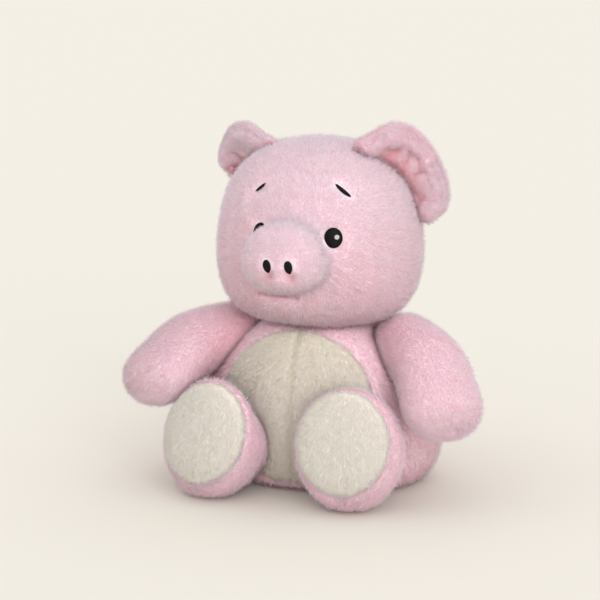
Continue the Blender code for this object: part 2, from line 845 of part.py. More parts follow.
def outside_torso(point, margin):
    heights, half_widths, _ = torso_levels()
    if point.z > heights[-1] + margin or point.z < -margin:
        return True
    half_width = float(np.interp(point.z, heights, half_widths)) + margin
    depth = (TORSO_BACK if point.y > 0 else TORSO_FRONT) * torso_depth_share(point.z) + margin
    level = (abs(point.x) / half_width) ** TORSO_SQUARENESS + (abs(point.y) / depth) ** TORSO_SQUARENESS
    return level > 1


def settle(ring, centre, pivot, seat_reach, swing, margin):
    """Draws a limb's points in until they lie in its seat, or clear the torso at every turn about X."""
    angles = np.linspace(swing[0] - SWING_MARGIN, swing[1] + SWING_MARGIN, 9)
    turns = [Matrix.Rotation(math.radians(angle), 3, "X") for angle in angles]
    settled = []
    for point in ring:
        for share in np.linspace(1, 0, 51):
            trial = centre + (point - centre) * share
            local = trial - pivot
            if local.length <= seat_reach:
                break
            if all(outside_torso(pivot + turn @ local, margin) for turn in turns):
                break
        settled.append(trial)
    return settled


def path_frames(path, across):
    """Each path point with the two directions square to the path there."""
    frames = []
    for index, point in enumerate(path):
        before = path[max(index - 1, 0)]
        after = path[min(index + 1, len(path) - 1)]
        along = (after - before).normalized()
        side = (across - along * across.dot(along)).normalized()
        frames.append((point, along, side, along.cross(side)))
    return frames


def draw_in(ring, centre, inset):
    """The same ring nearer its centre by the inset."""
    drawn = []
    for point in ring:
        reach = (point - centre).length
        drawn.append(centre + (point - centre) * max(1 - inset / reach, 0.2))
    return drawn


def root_rings(start, along, across, up, radius, inset, count):
    """The round root, from its turning opening to where the limb begins."""
    rings = []
    first = math.asin(TURNING_OPENING / radius)
    steps = 4
    for step in range(steps):
        angle = first + (math.pi / 2 - first) * step / steps
        reach = (radius - inset) * math.sin(angle)
        middle = start - along * (radius - inset) * math.cos(angle)
        rings.append(flat_ring(middle, across, up, reach, reach, count))
    return rings


def arm_rings(side, inset):
    """Rings along the arm: a full root, the upper arm and a blunt, flatter paw."""
    sign = SIDES[side]
    middle, facing = shoulder(side)
    start = middle + facing * SHOULDER_STAND
    paw = Vector((sign * PAW_SIDE, -PAW_FORWARD, PAW_HEIGHT))
    raising = Matrix.Rotation(math.radians(-sign * ARM_RAISE[side]), 3, facing)
    paw = start + raising @ (paw - start)
    elbow = (start + paw) / 2 + Vector((sign * ELBOW_SPREAD, 0, ELBOW_RISE))
    path = [Vector(point) for point in curve_through((start, elbow, paw), 3)]
    frames = path_frames(path, Vector((0, 0, 1)).cross(paw - start))
    point, along, across, up = frames[0]
    half_width = SHOULDER_HALF_WIDTH - inset
    half_height = SHOULDER_HALF_HEIGHT - inset
    rings = [[start - along * half_width]]
    for step in range(1, 4):
        angle = math.pi / 2 * step / 4
        centre = start - along * half_width * math.cos(angle)
        share = math.sin(angle)
        rings.append(flat_ring(centre, across, up, half_width * share, half_height * share, ARM_SIDES))
    for index, (point, along, across, up) in enumerate(frames):
        share = index / (len(frames) - 1)
        half_width = SHOULDER_HALF_WIDTH + (PAW_HALF_WIDTH - SHOULDER_HALF_WIDTH) * share - inset
        half_height = SHOULDER_HALF_HEIGHT + (PAW_HALF_HEIGHT - SHOULDER_HALF_HEIGHT) * share - inset
        rings.append(flat_ring(point, across, up, half_width, half_height, ARM_SIDES))
    tip = PAW_TIP - inset
    for step in range(1, 4):
        angle = math.pi / 2 * step / 4
        centre = point + along * tip * math.sin(angle)
        share = math.cos(angle)
        rings.append(flat_ring(centre, across, up, half_width * share, half_height * share, ARM_SIDES))
    rings.append([point + along * tip])
    return rings


def arm_form(name, side, inset=0):
    """The arm's outer form, or one inside it, cut flat where it is sewn to its seat."""
    middle, facing = shoulder(side)
    form = closed_loft(name, arm_rings(side, inset))
    return combine(form, beyond_plane("seat_cut", middle + facing * (SEAM_GAP + inset), -facing))


def build_arm(side, pink, filling, pivot):
    cover = arm_form(f"arm_skin_{side}", side)
    combine(cover, arm_form("cavity", side, CLOTH))
    middle, facing = shoulder(side)
    across = Vector((0, 1, 0))
    rings = []
    for depth in (-CLOTH, CLOTH + SHOULDER_STAND):
        centre = middle + facing * depth
        rings.append(
            flat_ring(centre, across, facing.cross(across), TURNING_OPENING, TURNING_OPENING, SEAT_SIDES)
        )
    combine(cover, closed_loft("turning_opening", rings))
    seat(cover, pink, pivot)
    seat(arm_form(f"arm_stuffing_{side}", side, CLOTH + FILLING_GAP), filling, pivot)


def sole_frame(side):
    """The sole's middle, the way it faces, and its two directions across."""
    sign = SIDES[side]
    centre = Vector((sign * SOLE_SIDES[side], -SOLE_FORWARD, SOLE_HEIGHTS[side]))
    tilt, splay = math.radians(SOLE_TILT), math.radians(SOLE_SPLAY)
    facing = Vector((sign * math.sin(splay) * math.cos(tilt), -math.cos(splay) * math.cos(tilt), math.sin(tilt)))
    across = Vector((0, 0, 1)).cross(facing).normalized()
    return centre, facing, across, facing.cross(across)


def keep_above(ring, floor):
    return [Vector((point.x, point.y, max(point.z, floor))) for point in ring]


def leg_half_sizes(place):
    """Half width and height at a place from 0 at the hip, by 1 at the full foot, to 2 at the sole's seam."""
    if place < 1:
        ease = place * place * (3 - 2 * place)
        first, last = (HIP_RADIUS, HIP_RADIUS), (FOOT_HALF_WIDTH, FOOT_HALF_HEIGHT)
    else:
        ease = 1 - math.sqrt(1 - (place - 1) ** 2)
        first, last = (FOOT_HALF_WIDTH, FOOT_HALF_HEIGHT), (SOLE_HALF_WIDTH, SOLE_HALF_HEIGHT)
    return [a + (b - a) * ease for a, b in zip(first, last)]


def leg_rings(side, inset=0):
    """Rings along the leg, from its round root in the hip hollow to the seam round the sole."""
    start = hip(side)
    centre, facing, across, up = sole_frame(side)
    leaving = (centre - start).normalized()
    sideways = Vector((0, 0, 1)).cross(leaving).normalized()
    rings = []
    for ring in root_rings(start, leaving, sideways, leaving.cross(sideways), HIP_RADIUS, inset, LEG_SIDES):
        rings.append(keep_above(ring, inset))
    foot = Vector((SIDES[side] * FOOT_SIDES[side], -FOOT_FORWARD, FOOT_HEIGHTS[side]))
    half = LEG_STEPS // 2
    for step, middle in enumerate(curve_through((start, foot, centre), half)):
        middle = Vector(middle)
        bend = (step / LEG_STEPS) ** LEG_BEND_POWER
        normal = (leaving * (1 - bend) + facing * bend).normalized()
        ring_across = Vector((0, 0, 1)).cross(normal).normalized()
        half_width, half_height = leg_half_sizes(step / half)
        ring = flat_ring(middle, ring_across, normal.cross(ring_across), half_width, half_height, LEG_SIDES)
        seat_reach = HIP_RADIUS - 2 * RUNNING_GAP * bool(step)
        ring = settle(keep_above(ring, 0), middle, start, seat_reach, LEG_SWING, LIMB_GAP)
        rings.append(keep_above(draw_in(ring, middle, inset), inset))
    return rings


def sole_rings(side, inset, gap):
    """The sole's crowned face: rings from the seam inwards to its middle."""
    centre, facing, across, up = sole_frame(side)
    rings = []
    for step in range(4):
        angle = math.pi / 2 * step / 4
        share = math.cos(angle)
        middle = centre + facing * (gap + (SOLE_CROWN - inset) * math.sin(angle) ** SOLE_FULLNESS_SHARE)
        ring = flat_ring(
            middle, across, up, (SOLE_HALF_WIDTH - inset) * share, (SOLE_HALF_HEIGHT - inset) * share, LEG_SIDES
        )
        rings.append(keep_above(ring, inset))
    rings.append([centre + facing * (gap + SOLE_CROWN - inset)])
    return rings


def build_leg(side, pink, cream, filling, pivot):
    bm = bmesh.new()
    outer_rows = add_rows(bm, leg_rings(side))
    inner_rows = add_rows(bm, leg_rings(side, CLOTH))
    for end in (0, -1):
        join_rows(bm, outer_rows[end], inner_rows[end])
    seat(finish_mesh(f"leg_skin_{side}", bm), pink, pivot)

    sole = shell(f"sole_{side}", sole_rings(side, 0, SEAM_GAP), sole_rings(side, CLOTH, SEAM_GAP))
    seat(sole, cream, pivot)

    inset = CLOTH + SEAM_GAP
    rings = leg_rings(side, inset) + sole_rings(side, inset, SEAM_GAP)[1:]
    seat(closed_loft(f"leg_stuffing_{side}", rings), filling, pivot)


# Tail


def build_tail(pink, pivot):
    root = Vector(pivot["place"])
    path = [root, root + Vector((0, TAIL_STEM, 0))]
    middle = path[-1] + Vector((0, 0, TAIL_CURL))
    steps = 12
    for step in range(1, steps + 1):
        angle = math.radians(-90 + TAIL_TURN * step / steps)
        path.append(middle + Vector((0, math.cos(angle), math.sin(angle))) * TAIL_CURL)
    frames = path_frames(path, Vector((1, 0, 0)))
    rings = []
    point, along, across, up = frames[0]
    for step in range(3):
        angle = math.pi / 2 * step / 3
        reach = TAIL_RADIUS * math.sin(angle)
        back = point - along * TAIL_RADIUS * math.cos(angle)
        rings.append(flat_ring(back, across, up, reach, reach, TAIL_SIDES) if reach else [back])
    for index, (point, along, across, up) in enumerate(frames):
        share = index / (len(frames) - 1)
        reach = TAIL_RADIUS + (TAIL_TIP_RADIUS - TAIL_RADIUS) * share
        rings.append(flat_ring(point, across, up, reach, reach, TAIL_SIDES))
    rings.append([point + along * TAIL_TIP_RADIUS])
    seat(closed_loft("tail", rings), pink, pivot)


def main():
    clear_scene()
    pink = material("pink plush", PINK, 0.9)
    rose = material("rose lining", DEEP_PINK, 0.85)
    cream = material("cream plush", CREAM, 0.9)
    black = material("black thread", BLACK, 0.55)
    filling = material("white filling", FILLING_WHITE, 0.95)

    torso = pivot_at("torso_pivot", (0, 0, 0), None)
    torso.location = (-TORSO_ASIDE, TORSO_SETBACK, 0)
    neck = pivot_at("neck_pivot", (0, 0, NECK_HEIGHT), torso)
    head = pivot_at("head_pivot", (0, 0, NECK_HEIGHT), neck)
    build_torso(pink, cream, filling, torso)
    build_neck(filling, neck)
    head_cover = build_head(pink, filling, head)
    build_snout(pink, filling, head)
    build_face(black, cream, head)
    for side in SIDES:
        ear = pivot_at(f"ear_pivot_{side}", ear_frame(side)[0], head)
        build_ear(side, pink, rose, head_cover, ear)
        arm = pivot_at(f"shoulder_pivot_{side}", shoulder(side)[0], torso)
        build_arm(side, pink, filling, arm)
        leg = pivot_at(f"hip_pivot_{side}", hip(side), torso)
        build_leg(side, pink, cream, filling, leg)
    tail_root = TORSO_BACK * torso_depth_share(TAIL_HEIGHT)
    tail = pivot_at("tail_pivot", (0, tail_root + SEAM_GAP + TAIL_RADIUS, TAIL_HEIGHT), torso)
    build_tail(pink, tail)


main()
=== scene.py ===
"""Looks of a seated plush pig: padded forms under pile, embroidered face, floor, light and camera.

Each stuffed part gets a padded form, made from its solids, and most get one or more pelts. A pelt is the pile
that grows on a part of the form: tapering strands, set out by one Geometry Nodes tree. The fields that steer
it, such as the way it is combed, are worked out on the form's points.
"""
import json
import math

import bmesh
import bpy
import numpy as np
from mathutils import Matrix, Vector
from mathutils.bvhtree import BVHTree


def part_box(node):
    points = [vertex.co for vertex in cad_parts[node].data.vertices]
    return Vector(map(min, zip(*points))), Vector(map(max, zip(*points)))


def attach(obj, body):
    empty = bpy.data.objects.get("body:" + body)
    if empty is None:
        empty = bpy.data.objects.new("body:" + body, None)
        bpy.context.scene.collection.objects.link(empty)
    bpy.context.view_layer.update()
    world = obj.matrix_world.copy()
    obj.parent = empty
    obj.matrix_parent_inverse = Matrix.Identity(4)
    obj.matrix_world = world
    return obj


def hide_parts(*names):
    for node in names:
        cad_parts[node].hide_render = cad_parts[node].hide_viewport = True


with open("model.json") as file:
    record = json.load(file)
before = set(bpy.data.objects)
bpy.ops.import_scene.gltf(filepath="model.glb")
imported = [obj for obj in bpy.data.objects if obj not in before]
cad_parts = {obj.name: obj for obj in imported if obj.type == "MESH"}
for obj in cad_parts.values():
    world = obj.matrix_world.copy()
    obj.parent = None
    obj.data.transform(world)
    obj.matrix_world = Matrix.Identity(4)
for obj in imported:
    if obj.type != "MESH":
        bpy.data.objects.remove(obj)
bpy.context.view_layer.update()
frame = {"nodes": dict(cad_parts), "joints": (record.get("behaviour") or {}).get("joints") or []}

NODES = frame["nodes"]
JOINTS = {joint["name"]: joint for joint in frame["joints"]}
SIDES = {"left": 1, "right": -1}

MM = 0.001
MIDDLE_X = JOINTS["head_turn"]["pos_m"][0]

# Padded forms: how finely each is meshed, how it is smoothed, and how full it is stuffed
FORM_VOXEL = 2.2 * MM
HEAD_VOXEL = 1.7 * MM
FINE_VOXEL = 1.3 * MM
SMOOTHING_ROUNDS = 14
SMOOTHING_STEPS = (0.5, -0.53)
SOFTENING_STEP = 0.6
FILLS = {
    "head": 0.85,
    "torso": 0.85,
    "belly": 0.85,
    "neck": 0.9,
    "tail": 0.9,
    "ear": 0.4,
    "arm": 0.8,
    "leg": 0.85,
    "sole": 0.85,
}

# Pile: how far its short underhair fills it, how long its strands are, how wide at the root, and how near
# they come to a neighbour and to the floor
UNDERHAIR = 1.6 * MM
PILE = 4.2 * MM
SOLE_PILE = 3.2 * MM
BELLY_PILE = 3.4 * MM
EAR_PILE = 3.4 * MM
LINING_PILE = 2.0 * MM
TAIL_PILE = 3.0 * MM
STRAND_WIDTH = 0.4 * MM
LINING_WIDTH = 0.36 * MM
LINING_LEAN = 1.0
HIDDEN_GAP = 0.2 * MM
FLOOR_CLEARANCE = 0.3 * MM

# How thin and how short the pile is where a piece rests on the floor, as shares, and its tone elsewhere
FLOOR_COVER = 0.3
FLOOR_LENGTH = 0.45
EVEN_TONE = 0.62

# Strands: their shape and map, then how they differ by chance and from tuft to tuft
STRAND_SIDES = 3
STRAND_MAP_HALF_WIDTH = 0.012
TONE_MAP_START = 0.03
TONE_MAP_WIDTH = 0.94
LENGTH_CHANCES = (0.5, 1.3)
WIDTH_CHANCES = (0.7, 1.2)
TONE_CHANCES = (-0.25, 0.25)
TUFT_LENGTH = 0.7
LEAST_TUFT_LENGTH = 0.65
TUFT_TONE = 1.7
COMBED_LIGHT = 0.15
STRAY_LIGHT = 0.3

# Seeds: one step for each pelt, and within it a place for each thing that is left to chance
SEED_STEP = 100
SEEDS = {"length": 3, "width": 5, "tone": 7, "stray": 11}

# Strands of the head's pelts together, how much fuller the snout's is, and strands of each of the other pelts
HEAD_STRANDS = 126000
SNOUT_FULLNESS = 1.9
STRANDS = {
    "torso": 27000,
    "belly": 18000,
    "tail": 5000,
    "ear": 23000,
    "lining": 8500,
    "arm": 35000,
    "leg": 24000,
    "sole": 14500,
}

# Colours. The root colours are painted shade deep in the pile. The pile turns to the deep colours by chance,
# and where the tone fields lay painted shade.
PALE_PINK = (0.965, 0.86, 0.95)
DEEP_PINK = (0.95, 0.65, 0.715)
ROOT_PINK = (0.92, 0.52, 0.57)
PALE_ROSE = (0.965, 0.77, 0.84)
DEEP_ROSE = (0.94, 0.52, 0.58)
ROOT_ROSE = (0.90, 0.47, 0.52)
PALE_CREAM = (0.985, 0.96, 0.925)
DEEP_CREAM = (0.87, 0.81, 0.71)
ROOT_CREAM = (0.83, 0.74, 0.61)
THREAD_BLACK = (0.005, 0.0045, 0.005)
THREAD_PALE = (0.74, 0.66, 0.66)
THREAD_SHADE = 0.6
BACKDROP = (0.890, 0.863, 0.791)
FLOOR = (0.75, 0.725, 0.665)


# Shader maths


class Value:
    """A number in a node tree, so that shader maths reads as Python."""

    def __init__(self, tree, socket):
        self.tree = tree
        self.socket = socket

    def math(self, operation, *others, swap=False):
        node = self.tree.nodes.new("ShaderNodeMath")
        node.operation = operation
        terms = [self, *others]
        if swap:
            terms.reverse()
        for socket, term in zip(node.inputs, terms):
            if isinstance(term, Value):
                self.tree.links.new(term.socket, socket)
            else:
                socket.default_value = term
        return Value(self.tree, node.outputs[0])

    def __add__(self, other):
        return self.math("ADD", other)

    __radd__ = __add__

    def __mul__(self, other):
        return self.math("MULTIPLY", other)

    __rmul__ = __mul__

    def __sub__(self, other):
        return self.math("SUBTRACT", other)

    def __rsub__(self, other):
        return self.math("SUBTRACT", other, swap=True)

    def limited(self):
        return self.math("MAXIMUM", 0.0).math("MINIMUM", 1.0)


def add_node(tree, kind, settings=None, inputs=None):
    """Adds a node, sets its settings, then the values or links of its sockets."""
    node = tree.nodes.new(kind)
    for name, value in (settings or {}).items():
        setattr(node, name, value)
    for name, value in (inputs or {}).items():
        socket = node.inputs[name]
        if isinstance(value, Value):
            value = value.socket
        if isinstance(value, bpy.types.NodeSocket):
            tree.links.new(value, socket)
        else:
            socket.default_value = value
    return node


class Finish:
    """A material with one Principled shader, built node by node."""

    def __init__(self, name, roughness):
        self.material = bpy.data.materials.new(name)
        self.material.use_nodes = True
        self.tree = self.material.node_tree
        self.shader = self.tree.nodes["Principled BSDF"]
        self.shader.inputs["Roughness"].default_value = roughness

    def node(self, kind, settings=None, inputs=None):
        return add_node(self.tree, kind, settings, inputs)

    def value(self, socket):
        return Value(self.tree, socket)

    def mix(self, factor, first, second):
        """One colour turning into another as the factor goes from 0 to 1."""
        ends = [(*end, 1.0) if isinstance(end, tuple) else end for end in (first, second)]
        node = self.node("ShaderNodeMix", {"data_type": "RGBA"}, {0: factor, 6: ends[0], 7: ends[1]})
        return node.outputs[2]

    def colour(self, socket):
        self.tree.links.new(socket, self.shader.inputs["Base Color"])

    def set(self, **values):
        for name, value in values.items():
            self.shader.inputs[name.replace("_", " ")].default_value = value

    def noise(self, size, detail, stretch=(1, 1, 1)):
        """Noise on the piece's own coordinates, with grains of about the given size."""
        place = self.node("ShaderNodeTexCoord").outputs["Object"]
        scaled = self.node("ShaderNodeMapping", None, {"Vector": place, "Scale": stretch})
        noise = self.node(
            "ShaderNodeTexNoise", None, {"Vector": scaled.outputs[0], "Scale": 1 / size, "Detail": detail}
        )
        return self.value(noise.outputs[0])

    def bump(self, height, distance, strength):
        node = self.node(
            "ShaderNodeBump", None, {"Height": height, "Distance": distance, "Strength": strength}
        )
        self.tree.links.new(node.outputs[0], self.shader.inputs["Normal"])


def pile_finish(name, root, deep, pale):
    """Pile, coloured from root to tip along each strand, the darker root being painted shade, and from deep
    to pale by the strand's tone, which carries painted light and shade.
    """
    finish = Finish(name, roughness=0.85)
    place = finish.node("ShaderNodeUVMap", {"uv_map": "OFBake"})
    split = finish.node("ShaderNodeSeparateXYZ", None, {"Vector": place.outputs[0]})
    tone = finish.value(split.outputs[0])
    along = finish.value(split.outputs[1]) * 2.0
    tip = finish.mix(tone.limited(), deep, pale)
    finish.colour(finish.mix(along.limited(), root, tip))
    finish.set(Specular_IOR_Level=0.0)
    return finish.material


def underhair_finish(name, deep, pale):
    """The short hair between the strands, from deep to pale by the form's own tone, which carries painted
    light and shade.
    """
    finish = Finish(name, roughness=0.95)
    tone = finish.value(finish.node("ShaderNodeAttribute", {"attribute_name": "tone"}).outputs["Fac"])
    grain = finish.noise(size=2.6 * MM, detail=4.0)
    grained = tone + (grain - 0.5) * 1.1 - 0.1
    finish.colour(finish.mix(grained.limited(), deep, pale))
    finish.bump(grain, distance=1.2 * MM, strength=0.7)
    finish.set(Specular_IOR_Level=0.0)
    return finish.material


def thread_finish(name, colour, roughness):
    """Embroidery thread with a soft shine and fine twist."""
    finish = Finish(name, roughness)
    twist = finish.noise(size=0.35 * MM, detail=1.0, stretch=(1, 1, 3))
    darker = tuple(THREAD_SHADE * part for part in colour)
    finish.colour(finish.mix(twist, darker, colour))
    finish.bump(twist, distance=0.08 * MM, strength=0.5)
    finish.set(Specular_IOR_Level=0.15)
    return finish.material


# Meshes and the fields on their points


def add_object(name, mesh):
    made = bpy.data.objects.new(name, mesh)
    bpy.context.scene.collection.objects.link(made)
    return made


def evaluated_mesh(item):
    graph = bpy.context.evaluated_depsgraph_get()
    return bpy.data.meshes.new_from_object(item.evaluated_get(graph))


def points_of(mesh):
    flat = np.empty(len(mesh.vertices) * 3)
    mesh.vertices.foreach_get("co", flat)
    return flat.reshape(-1, 3)


def normals_of(mesh):
    flat = np.empty(len(mesh.vertices) * 3)
    mesh.vertex_normals.foreach_get("vector", flat)
    return flat.reshape(-1, 3)


def move_points(mesh, points):
    mesh.vertices.foreach_set("co", np.ascontiguousarray(points).ravel())
    mesh.update()


def neighbour_means(mesh):
    """A function that gives the mean of each point's neighbours, for a field on the points."""
    edges = np.empty(len(mesh.edges) * 2, int)
    mesh.edges.foreach_get("vertices", edges)
    first, second = edges.reshape(-1, 2).T
    size = len(mesh.vertices)
    count = np.bincount(first, minlength=size) + np.bincount(second, minlength=size)

    def means(field):
        total = np.bincount(first, field[second], size) + np.bincount(second, field[first], size)
        return total / count

    return means


def way_to_neighbours(points, means):
    """From each point to the middle of its neighbours."""
    return np.stack([means(axis) for axis in points.T], axis=1) - points


def smooth(mesh, rounds):
    """Takes facets away without shrinking: each round moves points towards their neighbours and back."""
    points = points_of(mesh)
    means = neighbour_means(mesh)
    for step in SMOOTHING_STEPS * rounds:
        points = points + step * way_to_neighbours(points, means)
    move_points(mesh, points)


def soften(mesh, mask, rounds):
    """Rounds a form off where the mask is above 0, such as along an inner corner."""
    points = points_of(mesh)
    means = neighbour_means(mesh)
    for _ in range(rounds):
        points = points + SOFTENING_STEP * mask[:, None] * way_to_neighbours(points, means)
    move_points(mesh, points)


def blurred(mesh, field, rounds):
    """The field with its edges spread out over the surface."""
    means = neighbour_means(mesh)
    for _ in range(rounds):
        field = (field + means(field)) / 2
    return field


def keep_outer_body(mesh):
    """Deletes the closed pockets that a merge leaves inside."""
    bm = bmesh.new()
    bm.from_mesh(mesh)
    unseen = set(bm.verts)
    groups = []
    while unseen:
        group = {unseen.pop()}
        edge = list(group)
        while edge:
            vertex = edge.pop()
            for link in vertex.link_edges:
                other = link.other_vert(vertex)
                if other in unseen:
                    unseen.remove(other)
                    group.add(other)
                    edge.append(other)
        groups.append(group)
    largest = max(groups, key=len)
    bmesh.ops.delete(bm, geom=[v for v in bm.verts if v not in largest], context="VERTS")
    bm.to_mesh(mesh)
    bm.free()


def merged_form(name, nodes, voxel=FORM_VOXEL, rounds=SMOOTHING_ROUNDS):
    """One closed form round the outside of several solids."""
    bm = bmesh.new()
    for node in nodes:
        bm.from_mesh(NODES[node].data)
    mesh = bpy.data.meshes.new(name)
    bm.to_mesh(mesh)
    bm.free()
    form = add_object(name, mesh)
    remesh = form.modifiers.new("merge", "REMESH")
    remesh.mode = "VOXEL"
    remesh.voxel_size = voxel
    bpy.context.view_layer.update()
    form.data = evaluated_mesh(form)
    form.modifiers.clear()
    keep_outer_body(form.data)
    smooth(form.data, rounds)
    form.data.shade_smooth()
    return form


def surface_tree(mesh):
    return BVHTree.FromPolygons([v.co for v in mesh.vertices], [tuple(p.vertices) for p in mesh.polygons])


def distance_to(points, nodes):
    """Each point's distance to the nearest of the solids."""
    found = np.full(len(points), np.inf)
    for node in nodes:
        tree = surface_tree(NODES[node].data)
        for index, point in enumerate(points):
            found[index] = min(found[index], tree.find_nearest(point)[3])
    return found


def ramp(values, start, end):
    """0 up to the start, 1 from the end on, and smooth between."""
    t = np.clip((values - start) / (end - start), 0, 1)
    return t * t * (3 - 2 * t)


def bell(points, centre, reach):
    """1 at the centre, fading to 0 over about the reach."""
    away = (points - np.array(centre)) / np.array(reach)
    return np.exp(-(away**2).sum(1))


def crease(distance, width):
    """1 along a line, fading to 0 over about the width."""
    return np.exp(-((distance / width) ** 2))


def distance_to_path(points, path):
    """Each flat point's distance to a line through the path's places."""
    best = np.full(len(points), np.inf)
    for start, end in zip(path, path[1:]):
        start, end = np.array(start), np.array(end)
        along = end - start
        t = np.clip(((points - start) @ along) / (along @ along), 0, 1)
        best = np.minimum(best, np.linalg.norm(points - start - t[:, None] * along, axis=1))
    return best


def middle_of(node):
    low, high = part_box(node)
    return (low + high) / 2


def place_of(joint):
    return Vector(JOINTS[joint]["pos_m"])


def swelling(points, centre, height, reach):
    """How far the cloth swells round a centre, or sinks for a height below 0, from sizes in millimetres."""
    return height * MM * bell(points, centre, np.array(reach) * MM)


def beside(points, nodes, start, end):
    """1 up to the start distance from the solids, and fading to 0 at the end distance."""
    return 1 - ramp(distance_to(points, nodes), start, end)


def on_front(points):
    return (points[:, 1] < 0).astype(float)


def push(mesh, amount):
    """Moves each point along its normal, outwards for a positive amount."""
    move_points(mesh, points_of(mesh) + normals_of(mesh) * np.asarray(amount)[:, None])


def keep_above(mesh, height):
    points = points_of(mesh)
    points[:, 2] = np.maximum(points[:, 2], height)
    move_points(mesh, points)


def along_surface(directions, normals):
    """Directions laid onto the surface, each of length 1."""
    flat = directions - normals * (directions * normals).sum(1)[:, None]
    return flat / np.maximum(np.linalg.norm(flat, axis=1), 1e-9)[:, None]


def set_field(mesh, name, values, kind="FLOAT"):
    attribute = mesh.attributes.new(name, kind, "POINT")
    part = "vector" if kind == "FLOAT_VECTOR" else "value"
    attribute.data.foreach_set(part, np.ravel(values).astype(np.float32))


# Pile


def make_strand():
    """A tapering strand of unit length and width that stands on Z."""
    bm = bmesh.new()
    map_layer = bm.loops.layers.uv.new("OFBake")
    turns = [2 * math.pi * number / STRAND_SIDES for number in range(STRAND_SIDES)]
    roots = [bm.verts.new((0.5 * math.cos(turn), 0.5 * math.sin(turn), 0)) for turn in turns]
    tip = bm.verts.new((0, 0, 1))
    map_places = ((-STRAND_MAP_HALF_WIDTH, 0), (STRAND_MAP_HALF_WIDTH, 0), (0, 1))
    for number in range(STRAND_SIDES):
        face = bm.faces.new((roots[number], roots[(number + 1) % STRAND_SIDES], tip))
        for loop, place in zip(face.loops, map_places):
            loop[map_layer].uv = place
    mesh = bpy.data.meshes.new("strand")
    bm.to_mesh(mesh)
    bm.free()
    mesh.shade_smooth()
    return bpy.data.objects.new("strand", mesh)


def pile_inputs(tree):
    sockets = (
        ("Surface", "NodeSocketGeometry", None),
        ("Strand", "NodeSocketObject", None),
        ("Finish", "NodeSocketMaterial", None),
        ("Density", "NodeSocketFloat", 1e6),
        ("Length", "NodeSocketFloat", PILE),
        ("Width", "NodeSocketFloat", STRAND_WIDTH),
        ("Lean", "NodeSocketFloat", 1.2),
        ("Tuft Size", "NodeSocketFloat", 3.6 * MM),
        ("Tufting", "NodeSocketFloat", 0.7),
        ("Disorder", "NodeSocketFloat", 0.6),
        ("Relief", "NodeSocketFloat", 1.6),
        ("Softness", "NodeSocketFloat", 0.2),
        ("Seed", "NodeSocketInt", 1),
    )
    for name, kind, value in sockets:
        socket = tree.interface.new_socket(name, in_out="INPUT", socket_type=kind)
        if value is not None:
            socket.default_value = value
    tree.interface.new_socket("Pile", in_out="OUTPUT", socket_type="NodeSocketGeometry")


def vector_sum(tree, *terms):
    """The sum of vectors, each times a number."""
    total = None
    for vector, factor in terms:
        scaled = add_node(
            tree, "ShaderNodeVectorMath", {"operation": "SCALE"}, {"Vector": vector, "Scale": factor}
        )
        if total is None:
            total = scaled.outputs[0]
        else:
            joined = add_node(
                tree, "ShaderNodeVectorMath", {"operation": "ADD"}, {0: total, 1: scaled.outputs[0]}
            )
            total = joined.outputs[0]
    return total


